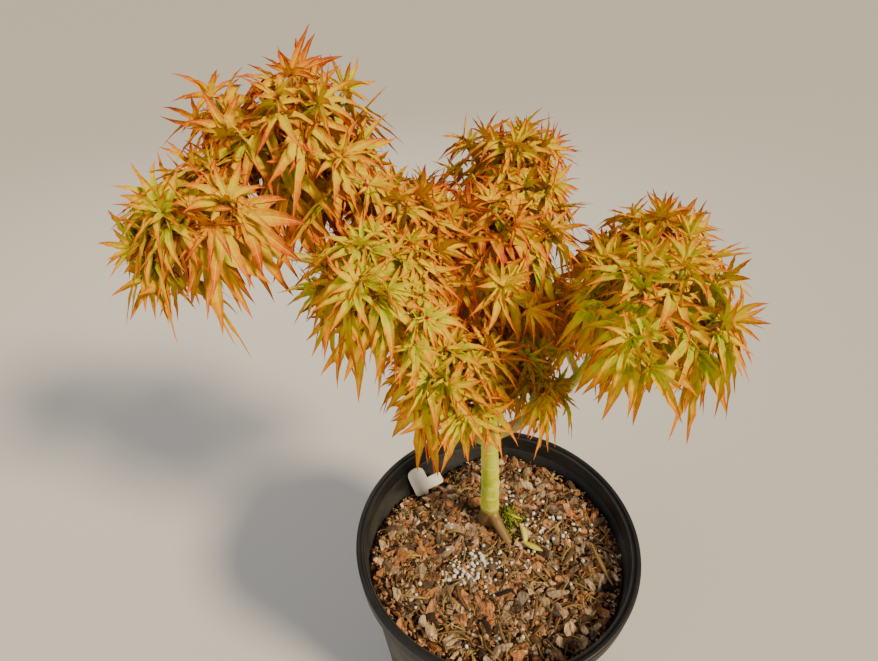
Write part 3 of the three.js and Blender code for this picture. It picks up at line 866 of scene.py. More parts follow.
@dataclass
class Soil:
    """The plug of bark fines in the pot, with its uneven surface and the places kept clear on it."""

    pot: NurseryPot
    level: float = 188
    lumps: float = 2.6
    wave: float = 17
    phase: Span = (1.3, 0.4)
    hollow_at: Span = (-60, 80)
    hollow_depth: float = 17
    hollow_reach: float = 58
    flat_within: Span = (34, 54)
    edge_dip: float = 3
    wall_gap: float = 0.8
    sides: int = 150
    rings: int = 46
    bed_gap: float = 0.4
    floor_gap: float = 0.3
    inner_share: float = 0.02
    crumble: tuple[Place, ...] = ((1.3, 7, 3), (0.8, 3, 4))
    rim_crumble: Place = (0.6, 5, 5)
    rim_from: float = 0.86
    collar: Span = (10, 24)
    collar_rise: float = 0.4
    trunk_foot: Span = TRUNK_FOOT[:2]
    trunk_radius: float = TRUNK_FOOT_RADIUS
    label_foot: Span = (-66, 66)
    label_span: Span = (-6, 30)
    label_slope: float = 0.32
    label_clear: float = 5
    wall_slope: float = 0.1

    def height_at(self, spots: np.ndarray) -> np.ndarray:
        """Give the soil's height at spots, by the rule of the solid.

        Args:
            spots: Rows of x and y in millimetres.

        Returns:
            One height each.
        """
        away = np.linalg.norm(spots - self.trunk_foot, axis=-1)
        x, y = spots[..., 0], spots[..., 1]
        swell = np.sin(x / self.wave + self.phase[0]) * np.cos(y / self.wave + self.phase[1])
        share = np.linalg.norm(spots - self.hollow_at, axis=-1) / self.hollow_reach
        sunk = self.hollow_depth * np.exp(-(share**2))
        return self.level + (self.lumps * swell - sunk) * smoothstep(away, *self.flat_within)

    def edge_level(self, round_way: np.ndarray) -> np.ndarray:
        """Give the soil's height where it meets the wall, in directions from the middle."""
        edge = self.pot.inner_radius(self.level) - self.wall_gap
        return self.height_at(edge * round_way) - self.edge_dip

    def by_trunk(self, spot: np.ndarray, clear: float) -> bool:
        """Tell whether a spot is nearer the trunk than this."""
        return np.linalg.norm(spot - self.trunk_foot) < self.trunk_radius + clear

    def by_label(self, spot: np.ndarray) -> bool:
        """Tell whether a spot is where the label stands or leans over.

        Args:
            spot: Its x and y.

        Returns:
            Whether it is.
        """
        x, y = spot - self.label_foot
        low, high = self.label_span
        return low < x < high and abs(y - self.label_slope * x) < self.label_clear

    def scatter(self, dice: Dice, count: int, inset: float, clear: float) -> np.ndarray:
        """Give random spots on the soil, clear of the wall, the trunk and the label.

        Args:
            dice: The random numbers.
            count: How many spots.
            inset: The distance kept from the wall.
            clear: The distance kept from the trunk.

        Returns:
            Rows of x and y.
        """
        reach = self.pot.inner_radius(self.level - self.edge_dip) - inset
        spots = []
        while len(spots) < count:
            turn = dice.uniform(0, 2 * math.pi)
            spot = math.sqrt(dice.uniform()) * reach * np.array([math.cos(turn), math.sin(turn)])
            sunk = self.level - self.height_at(spot)
            inside = np.linalg.norm(spot) <= reach - self.wall_slope * sunk
            if inside and not self.by_trunk(spot, clear) and not self.by_label(spot):
                spots.append(spot)
        return np.array(spots)

    def build(self) -> None:
        """Make the plug of fines with its crumbly top."""
        turns = turns_of(self.sides)
        round_way = np.stack([np.cos(turns), np.sin(turns)], axis=-1)
        level = self.edge_level(round_way)
        shares = np.linspace(1, self.inner_share, self.rings)
        spots = shares[:, None, None] * (self.pot.inner_radius(level) - self.bed_gap)[:, None] * round_way
        heights = self.height_at(spots)
        for height, size, seed in self.crumble:
            heights = heights + height * ripple(spots, size, seed)
        height, size, seed = self.rim_crumble
        rim = smoothstep(shares, self.rim_from, 1.0)[:, None]
        heights = mix(heights, level + height * ripple(spots, size, seed), rim)
        past_collar = smoothstep(np.linalg.norm(spots - self.trunk_foot, axis=-1), *self.collar)
        heights = mix(self.level + self.collar_rise, heights, past_collar)
        floor = self.pot.wall + self.floor_gap
        foot = (self.pot.inner_radius(floor) - self.bed_gap) * round_way
        base = np.column_stack([foot, np.full(self.sides, floor)])
        top = np.concatenate([spots, heights[..., None]], axis=-1)
        shell = Shell()
        shell.add(*closed_skin(np.concatenate([base[None], top]), UP * floor, top[-1].mean(axis=0)))
        piece = shell.make("bark_fines", [FINES.make()])
        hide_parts("soil")


@dataclass(frozen=True)
class ChipGrade:
    """One grade of broken bark: how many, how long, the ball they are cut from, and how high they lie."""

    name: str
    count: int
    lengths: Span
    lump: Skin
    breaks: int
    lift: float


GRADES = [
    ChipGrade("bark_flakes", 105, (9, 17), BALL, 8, 3.4),
    ChipGrade("bark_chips", 1450, (4.5, 15), BALL, 9, 1.8),
    ChipGrade("bark_crumbs", 4200, (1.8, 5), LUMP, 3, 2.2),
]


@dataclass
class BarkMulch:
    """The broken bark on the soil: large flakes on top, chips, and many small crumbs between them.

    Width, thickness and bedding are shares of a chip's own size, and what it keeps from the wall and
    the trunk are shares of its grade's longest.
    """

    soil: Soil
    cut_depth: Span = (0.34, 0.72)
    cut_makes_up: float = 1.25
    width: Span = (0.32, 0.75)
    thickness: Span = (0.16, 0.4)
    tilt: float = 0.42
    bedding: float = 0.2
    lift: Span = (-0.2, 1.1)
    from_wall: float = 0.42
    from_trunk: float = 0.25
    fibre: float = 0.2
    usual: float = 0.4
    seed: int = 41

    def chip(self, dice: Dice, size: np.ndarray, grade: ChipGrade) -> Skin:
        """Make one broken chip: a ball cut flat by random planes and drawn out to its size.

        Args:
            dice: The random numbers.
            size: Its length, width and thickness.
            grade: The grade that it belongs to.

        Returns:
            Its points, round the origin, and its faces.
        """
        points, faces = grade.lump
        ways = unit(dice.normal(size=(grade.breaks, 3)))
        for way, depth in zip(ways, dice.uniform(*self.cut_depth, grade.breaks)):
            points = points - np.maximum(points @ way - depth, 0)[:, None] * way
        return points * size / 2 * self.cut_makes_up, faces

    def build(self) -> None:
        """Strew each grade in turn."""
        dice = np.random.default_rng(self.seed)
        for grade in GRADES:
            shell = Shell()
            longest = grade.lengths[1]
            inset, clear = longest * self.from_wall, longest * self.from_trunk
            for spot in self.soil.scatter(dice, grade.count, inset, clear):
                length = mix(*grade.lengths, dice.uniform() ** 2)
                size = length * np.array([1, dice.uniform(*self.width), dice.uniform(*self.thickness)])
                points, faces = self.chip(dice, size, grade)
                tilt = dice.normal(0, self.tilt, 2)
                turn = Euler((*tilt, dice.uniform(0, 2 * math.pi))).to_matrix()
                lift = size[2] * self.bedding + grade.lift * dice.uniform(*self.lift)
                height = self.soil.height_at(spot) + lift
                shell.add(points @ np.array(turn).T + [*spot, height], faces)
            # The fibres are finer than a fifth of a chip and are drawn that wide, so that they show.
            grain = self.fibre * mix(*grade.lengths, self.usual)
            bark = SplitFibre(f"pine_{grade.name}", 0.88, shades=BARK_SHADES, grain=grain)
            shell.make(grade.name, [bark.make()], smooth=False)


@dataclass
class Prills:
    """The fertiliser prills: a heap in front of the trunk, drifts to its right, and strays.

    A heap has its middle, its spread each way and its count.
    """

    soil: Soil
    heaps: tuple[tuple[Span, Span, int], ...] = (
        ((-21, -15), (13, 10), 96),
        ((-38, 21), (4, 4), 6),
        ((18, 50), (7, 6), 17),
        ((37, 24), (11, 12), 42),
        ((11, -6), (13, 6), 16),
        ((68, 16), (11, 5), 7),
        ((22, -20), (5, 4), 5),
    )
    strays: int = 60
    from_wall: float = 12
    from_trunk: float = 6
    heap_clear: float = 2
    radius: Span = (0.95, 1.6)
    stretch: Span = (0.86, 1.12)
    lift: float = 2.4
    drop: float = 1.6
    seed: int = 42

    def build(self) -> None:
        """Drop the prills on the soil."""
        dice = np.random.default_rng(self.seed)
        spots = [dice.normal(at, spread, (count, 2)) for at, spread, count in self.heaps]
        spots.append(self.soil.scatter(dice, self.strays, self.from_wall, self.from_trunk))
        shell = Shell()
        for spot in np.concatenate(spots):
            if self.soil.by_trunk(spot, self.heap_clear):
                continue
            points, faces = BALL
            stretch = dice.uniform(*self.radius) * dice.uniform(*self.stretch, 3)
            height = self.soil.height_at(spot) + self.lift + dice.uniform(0, self.drop)
            shell.add(points * stretch + [*spot, height], faces)
        shell.make("fertiliser_prills", [PRILL.make()])


@dataclass
class Litter:
    """What lies on the soil as thin curled strips, bowed aside and arched between their ends.

    Bow is a share of a strip's length, and end_width, curl and crest are shares of its width. Swell is
    the part of a half wave that its width follows, and thickness is over and under its middle.
    """

    soil: Soil
    stations: int = 9
    bow: float = 0.06
    arch: Span = (0.5, 2.5)
    end_width: float = 0.25
    swell: Span = (0.06, 0.96)
    curl: float = 0.25
    crest: float = 0.2
    thickness: Span = (0.35, 0.25)

    def strip(self, dice: Dice, start: np.ndarray, end: np.ndarray, width: float, lift: float) -> Skin:
        """Make a strip between two spots on the soil.

        Args:
            dice: The random numbers.
            start: One end's x and y.
            end: The other end's x and y.
            width: Its width.
            lift: How far it lies over the soil.

        Returns:
            Its points and faces.
        """
        shares = np.linspace(0, 1, self.stations)
        arc = np.sin(math.pi * shares)
        along = unit(end - start)
        aside = np.array([-along[1], along[0]])
        bow = dice.normal(0, self.bow) * np.linalg.norm(end - start)
        middle = mix(start, end, shares[:, None]) + np.outer(arc * bow, aside)
        height = self.soil.height_at(middle) + lift + dice.uniform(*self.arch) * arc
        half = width / 2 * mix(self.end_width, 1, np.sin(math.pi * mix(*self.swell, shares)))
        over, under = self.thickness
        rows = np.stack([
            np.column_stack([middle - aside * half[:, None], height + self.curl * width]),
            np.column_stack([middle, height + over + self.crest * width]),
            np.column_stack([middle + aside * half[:, None], height]),
            np.column_stack([middle, height - under]),
        ], axis=1)
        corners = np.arange(4)
        ends = [corners[::-1], corners + 4 * (self.stations - 1)]
        return rows.reshape(-1, 3), np.concatenate([grid_faces(self.stations, 4, True)[:, ::-1], ends])


@dataclass
class Straw(Litter):
    """The straw, fibres and split twigs, the larger ones where the photograph has them.

    A large one has its two ends and its width.
    """

    large: tuple[tuple[Span, Span, float], ...] = (
        ((51, -16), (64, 3), 3.2),
        ((78, 3), (87, -32), 4.2),
        ((-31, -28), (-24, -52), 3.4),
        ((-40, -30), (-35, -50), 2.6),
        ((21, -65), (28, -39), 2.4),
        ((70, 14), (88, 2), 2.2),
        ((-2, -58), (2, -76), 2.6),
    )
    large_lift: float = 4.6
    count: int = 620
    from_wall: float = 10
    from_trunk: float = 8
    lengths: Span = (6, 24)
    mostly_short: float = 2.4
    widths: Span = (0.5, 2.2)
    mostly_thin: float = 2
    lift: Span = (1.6, 4.2)
    seed: int = 43

    def build(self) -> None:
        """Lay the large ones, then many short and thin ones, which are the commonest."""
        dice = np.random.default_rng(self.seed)
        shell = Shell()
        for start, end, width in self.large:
            shell.add(*self.strip(dice, np.array(start), np.array(end), width, self.large_lift))
        for spot in self.soil.scatter(dice, self.count, self.from_wall, self.from_trunk):
            turn = dice.uniform(0, 2 * math.pi)
            length = mix(*self.lengths, dice.uniform() ** self.mostly_short)
            way = np.array([math.cos(turn), math.sin(turn)]) * length / 2
            if self.soil.by_trunk(spot, length / 2):
                continue
            width = mix(*self.widths, dice.uniform() ** self.mostly_thin)
            shell.add(*self.strip(dice, spot - way, spot + way, width, dice.uniform(*self.lift)))
        shell.make("straw_and_fibres", [STRAW.make()])


@dataclass
class Moss(Litter):
    """The tuft of moss against the trunk's right side, with three curled fallen leaves.

    Cushion is the tuft's height over the soil at its edge, and how much higher its middle is. A fallen
    leaf has its two ends and its width.
    """

    at: Span = (15, 27)
    reach: Span = (9, 12)
    edge: float = 1.3
    fronds: int = 520
    spread: Span = (4.6, 6.2)
    cushion: Span = (1.5, 2.2)
    lean: float = 0.7
    lengths: Span = (2.2, 4.6)
    places: Place = (0, 0.55, 1)
    bends: Place = (0, 0.1, 0.5)
    radii: Place = (0.55, 0.5, 0.12)
    sides: int = 3
    fallen: tuple[tuple[Span, Span, float], ...] = (
        ((22, 22), (24, 3), 6.0),
        ((22, 6), (38, -2), 7.0),
        ((12, 33), (24, 27), 4.0),
    )
    fallen_lift: float = 4.4
    seed: int = 44

    def build(self) -> None:
        """Grow the fronds and lay the leaves by them."""
        dice = np.random.default_rng(self.seed)
        shell = Shell()
        low, rise = self.cushion
        for _ in range(self.fronds):
            spot = dice.normal(self.at, self.spread)
            away = np.linalg.norm((spot - self.at) / self.reach)
            if away > self.edge or self.soil.by_trunk(spot, 0):
                continue
            base = np.array([*spot, self.soil.height_at(spot) + low + rise * max(0, 1 - away)])
            lean = unit(np.array([*dice.normal(0, self.lean, 2), 1.0]))
            path = base + np.outer(self.places, lean * dice.uniform(*self.lengths))
            path = path + np.outer(self.bends, dice.normal(0, 1, 3))
            shell.add(*tube(path, np.array(self.radii), self.sides))
        for start, end, width in self.fallen:
            shell.add(*self.strip(dice, np.array(start), np.array(end), width, self.fallen_lift), 1)
        shell.make("moss_tuft", [MOSS.make(), FALLEN_LEAF.make()])


@dataclass
class PlantLabel:
    """The blank label, which keeps its solid's shape and gets its plastic."""

    node: str = "plant_label"

    def dress(self) -> None:
        """Give the label's solid its white sheet plastic."""
        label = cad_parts[self.node]
        target = label if isinstance(label, bpy.types.Object) else bpy.data.objects[self.node]
        target.data.materials.clear()
        target.data.materials.append(LABEL.make())
        log.info("%s: dressed", self.node)


# The limbs


@dataclass(frozen=True)
class Bough:
    """One bough's growth: what it springs from, where, its tip, its radii and its bow."""

    springs_from: str
    at: float
    tip: Place
    radii: Span
    bow: Place


BOUGHS = {
    "left": Bough("trunk", 0.96, (-112, 24, 454), (4.6, 3.2), (10, -10, -12)),
    "crown_top": Bough("left", 0.99, (-130, 58, 486), (2.8, 2.1), (-2, 2, -4)),
    "far_left": Bough("left", 0.98, (-160, 10, 471), (2.6, 2), (2, 0, -6)),
    "upper_left": Bough("left", 0.66, (-69, 36, 428), (2.6, 2), (6, 6, -4)),
    "lower_left": Bough("left", 0.62, (-77, -6, 438), (2.5, 1.9), (2, -6, -6)),
    "rear_top": Bough("trunk", 0.93, (-1, 98, 446), (4.2, 2.4), (4, 14, -14)),
    "middle": Bough("rear_top", 0.52, (-12, 58, 416), (2.4, 1.9), (-4, 0, 0)),
    "rear_left": Bough("rear_top", 0.3, (-62, 108, 406), (2.5, 1.9), (-4, 8, -10)),
    "right": Bough("trunk", 0.9, (58, 16, 398), (4.4, 3), (12, -6, -14)),
    "upper_right": Bough("right", 0.99, (80, 40, 414), (2.7, 2.1), (2, 2, -4)),
    "lower_right": Bough("right", 0.97, (68, -14, 424), (2.6, 2), (4, -2, -5)),
    "centre": Bough("right", 0.46, (2, 36, 372), (2.3, 1.8), (-2, 4, 0)),
    "rear_right": Bough("right", 0.72, (44, 78, 353), (2.3, 1.8), (2, 6, -6)),
    "front": Bough("trunk", 0.84, (-38, -4, 376), (3, 1.9), (-10, -6, -14)),
    "low_right": Bough("right", 0.24, (15, 5, 352), (2.2, 1.7), (2, -5, -2)),
}


@dataclass
class Limbs:
    """The trunk with its surface root, and the boughs, in bark with its true relief."""

    foot: Place = TRUNK_FOOT
    top: Place = (-10, 25, 309)
    trunk_bow: Place = (2, 0, 0)
    foot_radius: float = TRUNK_FOOT_RADIUS
    stem_radius: float = 7.7
    top_radius: float = 6.0
    flare_height: float = 16
    knuckle_radius: float = 7.6
    knuckle_at: float = 0.95
    knuckle_spread: float = 0.06
    ring_gap: float = 17
    gap_spread: Span = (0.8, 1.3)
    ring_width: float = 0.9
    ring_height: float = 0.03
    bud_height: float = 0.07
    bud_power: int = 4
    ring_wobble: Span = (0.6, 9)
    hollows: tuple[Span, ...] = ((0.02, 8), (0.012, 2.5))
    collar_share: float = 0.28
    flare_fade: float = 9
    bough_knuckle: float = 1.0
    knuckle_from: float = 0.9
    trunk_sides: int = 56
    trunk_steps: int = 170
    trunk_seed: int = 11
    bough_sides: int = 20
    bough_steps: int = 18
    bough_step: float = 1.4
    bough_seed: int = 30
    root_places: tuple[Place, ...] = ((-2, 29, 202), (2, 20, 197), (11, 7, 190))
    root_radii: Span = (5.0, 3.2)
    root_steps: int = 26
    root_seed: int = 17
    foot_ridges: tuple[Place, ...] = ((0.07, 3, 0.6), (0.05, 5, 0))
    fork_ridges: tuple[Place, ...] = ((0.07, 2, 1), (0.06, 3, 0.4))
    fork_at: float = 0.965
    fork_spread: float = 0.05
    dome_deg: Place = (30, 55, 75)
    dome_height: float = 0.7

    def __post_init__(self) -> None:
        """Lay out every limb's curve, each child starting on its parent."""
        self.curves = {"trunk": self.curve(np.array(self.foot, float), self.top, self.trunk_bow)}
        for name, bough in BOUGHS.items():
            start = self.curves[bough.springs_from].point(bough.at)
            self.curves[name] = self.curve(start, bough.tip, bough.bow)

    def curve(self, start: np.ndarray, tip: tuple[float, ...], bow: tuple[float, ...]) -> Bend:
        """Give a limb's curve from its start to its tip, its middle pushed aside by bow."""
        end = np.array(tip, float)
        return Bend(start, (start + end) / 2 + np.array(bow), end)

    def trunk_radii(self, shares: np.ndarray) -> np.ndarray:
        """Give the trunk's radius: a flare, a slim stem and the knuckle that it forks from.

        Args:
            shares: Shares of its length.

        Returns:
            One radius for each share.
        """
        length = self.curves["trunk"].length
        flare = np.maximum(0, 1 - shares * length / self.flare_height) ** 2
        knuckle = np.exp(-(((shares - self.knuckle_at) / self.knuckle_spread) ** 2))
        stem = mix(self.stem_radius, self.top_radius, shares)
        stem = stem + (self.foot_radius - self.stem_radius) * flare
        return stem + (self.knuckle_radius - self.top_radius) * knuckle

    def bough_radii(self, name: str, shares: np.ndarray) -> np.ndarray:
        """Give a bough's radius, with the collar that it springs from and its own knuckle.

        Args:
            name: The bough.
            shares: Shares of its length.

        Returns:
            One radius for each share.
        """
        bough = BOUGHS[name]
        springing = [other.at for other in BOUGHS.values() if other.springs_from == name]
        forked = max(springing, default=0) > self.knuckle_from
        swell = self.bough_knuckle * smoothstep(shares, self.knuckle_from, 1.0) if forked else 0
        fade = np.exp(-shares * self.curves[name].length / self.flare_fade)
        collar = self.collar_share * bough.radii[0] * fade
        return mix(*bough.radii, shares) + swell + collar

    def relief(self, path: np.ndarray, radii: np.ndarray, sides: int, seed: int) -> np.ndarray:
        """Add the bark's relief: ring scars, bud scars and shallow hollows.

        Args:
            path: Points along the limb.
            radii: One radius for each.
            sides: Corners of the section.
            seed: The seed of the hollows.

        Returns:
            A radius for each point and side.
        """
        turns = turns_of(sides)
        along = np.concatenate([[0], np.cumsum(np.linalg.norm(np.diff(path, axis=0), axis=1))])
        grid = np.stack([
            np.broadcast_to(along[:, None], (len(path), sides)),
            radii[:, None] * np.cos(turns),
            radii[:, None] * np.sin(turns),
        ], axis=-1)
        gap = self.ring_gap * np.random.default_rng(seed).uniform(*self.gap_spread)
        height, size = self.ring_wobble
        phase = (along[:, None] + height * ripple(grid, size, seed)) / gap % 1
        ring = np.exp(-(((phase - 0.5) * gap / self.ring_width) ** 2))
        facing = np.cos(turns - along[:, None] // gap * math.pi / 2)
        bud = ring * np.clip(facing, 0, 1) ** self.bud_power
        coarse, fine = [
            height * ripple(grid, size, seed + i) for i, (height, size) in enumerate(self.hollows, 1)
        ]
        return radii[:, None] * (1 + (coarse + fine) + self.ring_height * ring + self.bud_height * bud)

    def round_off(self, path: np.ndarray, radii: np.ndarray) -> tuple[np.ndarray, np.ndarray]:
        """Close a limb's end with a dome.

        Args:
            path: Points along the limb.
            radii: A radius for each point and side.

        Returns:
            The longer path and its radii.
        """
        way = unit(path[-1] - path[-2])
        angles = np.radians(self.dome_deg)
        cap = radii[-1].mean()
        extra = path[-1] + np.outer(np.sin(angles) * cap * self.dome_height, way)
        closing = np.outer(np.cos(angles), radii[-1])
        return np.concatenate([path, extra]), np.concatenate([radii, closing])

    def build(self) -> None:
        """Make the trunk's and the boughs' bark."""
        self.build_trunk()
        self.build_boughs()

    def build_trunk(self) -> None:
        """Make the trunk from below the soil's crumbs to its knuckle, and its surface root."""
        shares = np.linspace(0, 1, self.trunk_steps)
        path = self.curves["trunk"].point(shares)
        radii = self.relief(path, self.trunk_radii(shares), self.trunk_sides, self.trunk_seed)
        at_foot = np.exp(-shares * self.curves["trunk"].length / self.flare_fade)
        at_fork = np.exp(-(((shares - self.fork_at) / self.fork_spread) ** 2))
        turns = turns_of(self.trunk_sides)
        for reach, ridges in ((at_foot, self.foot_ridges), (at_fork, self.fork_ridges)):
            ridge = sum(height * np.cos(count * turns + phase) for height, count, phase in ridges)
            radii = radii * (1 + reach[:, None] * ridge)
        shell = Shell()
        shell.add(*tube(*self.round_off(path, radii), self.trunk_sides))
        shares = np.linspace(0, 1, self.root_steps)
        path = Bend(*np.array(self.root_places, float)).point(shares)
        radii = self.relief(path, mix(*self.root_radii, shares), self.bough_sides, self.root_seed)
        shell.add(*tube(*self.round_off(path, radii), self.bough_sides))
        piece = shell.make("trunk_bark", [TRUNK_BARK.make()])
        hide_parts("trunk")

    def build_boughs(self) -> None:
        """Make all the boughs as one piece, their feet sunk in what they spring from."""
        shell = Shell()
        for i, name in enumerate(BOUGHS):
            steps = max(self.bough_steps, int(self.curves[name].length / self.bough_step))
            shares = np.linspace(0, 1, steps)
            path = self.curves[name].point(shares)
            # Each limb's relief takes three seeds.
            seed = self.bough_seed + 3 * i
            radii = self.relief(path, self.bough_radii(name, shares), self.bough_sides, seed)
            shell.add(*tube(*self.round_off(path, radii), self.bough_sides))
        piece = shell.make("bough_bark", [BOUGH_BARK.make()])
        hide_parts(*[f"{name}_bough" for name in BOUGHS])


# The foliage


@dataclass(frozen=True)
class Mass:
    """One mass of foliage: its lean for each unit up, its shoots' and leaves' sizes, and its ripeness.

    Ripeness is the tint that most of its sprays start from, 0 for lime, 1 for yellow and so on.
    """

    lean: Span
    lift: float
    splay: float
    shoots: int
    leaf: float
    seed: int
    ripeness: float


MASSES = {
    "crown_top": Mass((0.16, 0), 49, 96, 9, 52, 164, 0.75),
    "far_left": Mass((-0.66, -0.26), 34, 77, 6, 46, 774, 0.45),
    "upper_left": Mass((0.06, -0.1), 42, 70, 6, 46, 411, 1.0),
    "lower_left": Mass((-0.14, -0.16), 34, 84, 5, 40, 541, 0.5),
    "rear_top": Mass((0.2, 0.06), 40, 72, 6, 42, 1188, 0.3),
    "middle": Mass((0, -0.1), 46, 66, 6, 46, 475, 0.6),
    "rear_left": Mass((-0.3, 0.6), 38, 88, 6, 46, 895, 0.8),
    "upper_right": Mass((0.14, 0.2), 42, 84, 7, 49, 338, 0.8),
    "lower_right": Mass((0.17, -0.08), 40, 84, 7, 44, 640, 0.75),
    "centre": Mass((-0.1, -0.2), 32, 76, 6, 38, 239, 0.9),
    "rear_right": Mass((0.67, 0.83), 25, 88, 5, 37, 833, 0.7),
    "front": Mass((-0.1, -0.3), 28, 86, 5, 44, 773, 0.65),
    "low_right": Mass((0.16, -0.1), 16, 80, 3, 27, 1177, 0.4),
}


@dataclass
class Leaf:
    """Where one leaf sits and how it hangs."""

    node: np.ndarray
    way: np.ndarray
    forward: np.ndarray
    normal: np.ndarray
    stalk: float
    length: float
    droop: float
    broad: float
    tint: int


@dataclass
class Shoot:
    """A twig with the spray of leaves that it bears, all of one tint."""

    curve: Bend
    radii: Span
    turn: float
    pairs: int
    sizes: Span
    tint: int


@dataclass
class LeafMaker:
    """Makes leaves of seven narrow toothed lobes, folded along their pale ribs and arching down.

    The tint turns redder from a lobe's root to its tip, and from its rib to its edges. A spread is what
    a random difference ranges over, or its usual size.
    """

    lobes_deg: tuple[float, ...] = (0, 36, 80, 122)
    lobe_share: tuple[float, ...] = (1, 0.9, 0.64, 0.32)
    stations: int = 8
    columns: tuple[float, ...] = (-1, -0.64, -0.07, 0.07, 0.64, 1)
    point_from: float = 0.9
    root_width: float = 0.32
    blade_width: float = 2.02
    widens: float = 0.72
    tapers: float = 1.18
    half_width: float = 0.125
    small_broader: float = 0.3
    tooth: float = 0.09
    notch: float = 0.6
    fold_deg: float = 28
    fold_spread: float = 9
    length_spread: Span = (0.9, 1.06)
    turn_spread: float = 0.07
    sweep_spread: float = 0.16
    sweep_power: float = 1.4
    crinkle: float = 0.1
    droop_spread: float = 0.08
    droop_power: float = 0.8
    droop_shortens: float = 0.4
    tip_redder: int = 4
    turns_from: int = 2
    petiole_radius: float = 0.62
    petiole_rise: float = 0.09
    petiole_span: Span = (-0.06, 1.02)
    petiole_steps: int = 4
    petiole_sides: int = 3

    def lobe_rows(self) -> tuple[np.ndarray, np.ndarray]:
        """Give a lobe's places along its rib, and how wide it is at each.

        Returns:
            The places from 0 to where the point starts, and the widths for a half width of one.
        """
        # The root is half as wide as the widest part, which is three tenths of the way along.
        t = np.linspace(0, self.point_from, self.stations)
        blade = self.blade_width * t**self.widens * (1 - t) ** self.tapers
        return t, self.root_width * (1 - t) ** 3 + blade

    def faces(self) -> tuple[np.ndarray, np.ndarray, np.ndarray]:
        """Give one lobe's faces, how much redder than its root each is, and which lie on its rib.

        Returns:
            The faces, the steps that each is redder, and whether each is a part of the rib.
        """
        strips = len(self.columns) - 1
        across = np.arange(strips)
        quads = grid_faces(self.stations, strips + 1, False)
        along = np.repeat(np.arange(self.stations - 1), strips)
        edge = np.tile((across == 0) | (across == strips - 1), self.stations - 1)
        start = (self.stations - 1) * (strips + 1)
        point = np.full(strips, start + strips + 1)
        tip = np.stack([start + across, start + across + 1, point, np.full(strips, -1)], axis=1)
        redder = np.maximum(along - self.turns_from, 0) + edge
        redder = np.append(redder, np.full(strips, self.tip_redder))
        rib = np.append(np.tile(across == strips // 2, self.stations - 1), np.zeros(strips, dtype=bool))
        return np.concatenate([quads, tip]), redder, rib

    def add_blades(self, shell: Shell, leaves: list[Leaf], dice: Dice) -> None:
        """Add the blades of many leaves at once.

        Args:
            shell: The piece that they go to.
            leaves: The leaves.
            dice: The random numbers of their small differences.
        """
        angles = np.radians([*(-np.array(self.lobes_deg[:0:-1])), *self.lobes_deg])
        shares = np.array([*self.lobe_share[:0:-1], *self.lobe_share])
        count, lobes = len(leaves), len(angles)
        forward = np.array([leaf.forward for leaf in leaves])
        normal = np.array([leaf.normal for leaf in leaves])
        across = np.cross(normal, forward)
        base = np.array([leaf.node + leaf.way * leaf.stalk for leaf in leaves])
        length = np.array([leaf.length for leaf in leaves])[:, None] * shares
        each_lobe = (count, lobes)
        length = length * dice.uniform(*self.length_spread, each_lobe)
        droop = np.array([leaf.droop for leaf in leaves])[:, None]
        droop = droop + dice.normal(0, self.droop_spread, each_lobe)
        sweep = dice.normal(0, self.sweep_spread, each_lobe)
        turn = angles + dice.normal(0, self.turn_spread, each_lobe) - sweep / 2
        fold = np.radians(self.fold_deg + dice.normal(0, self.fold_spread, each_lobe))
        broad = np.array([leaf.broad for leaf in leaves])[:, None]
        way = forward[:, None] * np.cos(turn)[..., None] + across[:, None] * np.sin(turn)[..., None]
        aside = across[:, None] * np.cos(turn)[..., None] - forward[:, None] * np.sin(turn)[..., None]
        t, width = self.lobe_rows()
        columns = np.array(self.columns)
        steps = np.append(t, 1.0)
        run = length[..., None] * steps
        bent = 1 - self.droop_shortens * droop[..., None] * steps
        spine = base[:, None, None] + way[:, :, None] * (run * bent)[..., None]
        spine = spine - UP * (droop[..., None] * run * steps**self.droop_power)[..., None]
        spine = spine + aside[:, :, None] * (sweep[..., None] * run * steps**self.sweep_power)[..., None]
        odd = np.arange(len(t)) % 2
        teeth = 1 + self.tooth * np.where(odd, 1, -self.notch)
        broader = (1 / shares**self.small_broader)[:, None]
        half = self.half_width * (length * broad)[..., None] * broader * width
        reach = half[..., None] * np.where(np.abs(columns) == 1, teeth[:, None], 1.0) * columns
        out = aside[:, :, None, None] * (reach * np.cos(fold)[..., None, None])[..., None]
        wave = self.crinkle * np.outer(np.where(odd, 1, -1), columns**2)
        rise = np.abs(reach) * np.sin(fold)[..., None, None] + half[..., None] * wave
        raised = normal[:, None, None, None] * rise[..., None]
        rows = spine[:, :, :-1, None] + out + raised
        tips = spine[:, :, -1:]
        points = np.concatenate([rows.reshape(count, lobes, -1, 3), tips], axis=2)
        faces, redder, rib = self.faces()
        each = points.shape[2]
        offsets = np.arange(count * lobes)[:, None, None] * each
        joined = np.where(faces[None] >= 0, faces[None] + offsets, -1).reshape(-1, 4)
        tint = np.repeat([leaf.tint for leaf in leaves], lobes)[:, None] + redder
        tint = np.minimum(tint, len(TINTS) - 1)
        shell.add(points, joined, np.where(rib, RIB_SLOT, tint).reshape(-1))

    def add_petioles(self, shell: Shell, leaves: list[Leaf]) -> None:
        """Add the leaves' stalks, which bow up a little on their way out.

        Args:
            shell: The piece that they go to.
            leaves: The leaves.
        """
        shares = np.linspace(*self.petiole_span, self.petiole_steps)
        rises = self.petiole_rise * np.sin(math.pi * np.clip(shares, 0, 1))
        radii = np.full(self.petiole_steps, self.petiole_radius)
        for leaf in leaves:
            path = leaf.node + leaf.stalk * (np.outer(shares, leaf.way) + np.outer(rises, leaf.normal))
            shell.add(*tube(path, radii, self.petiole_sides), PETIOLE_SLOT)


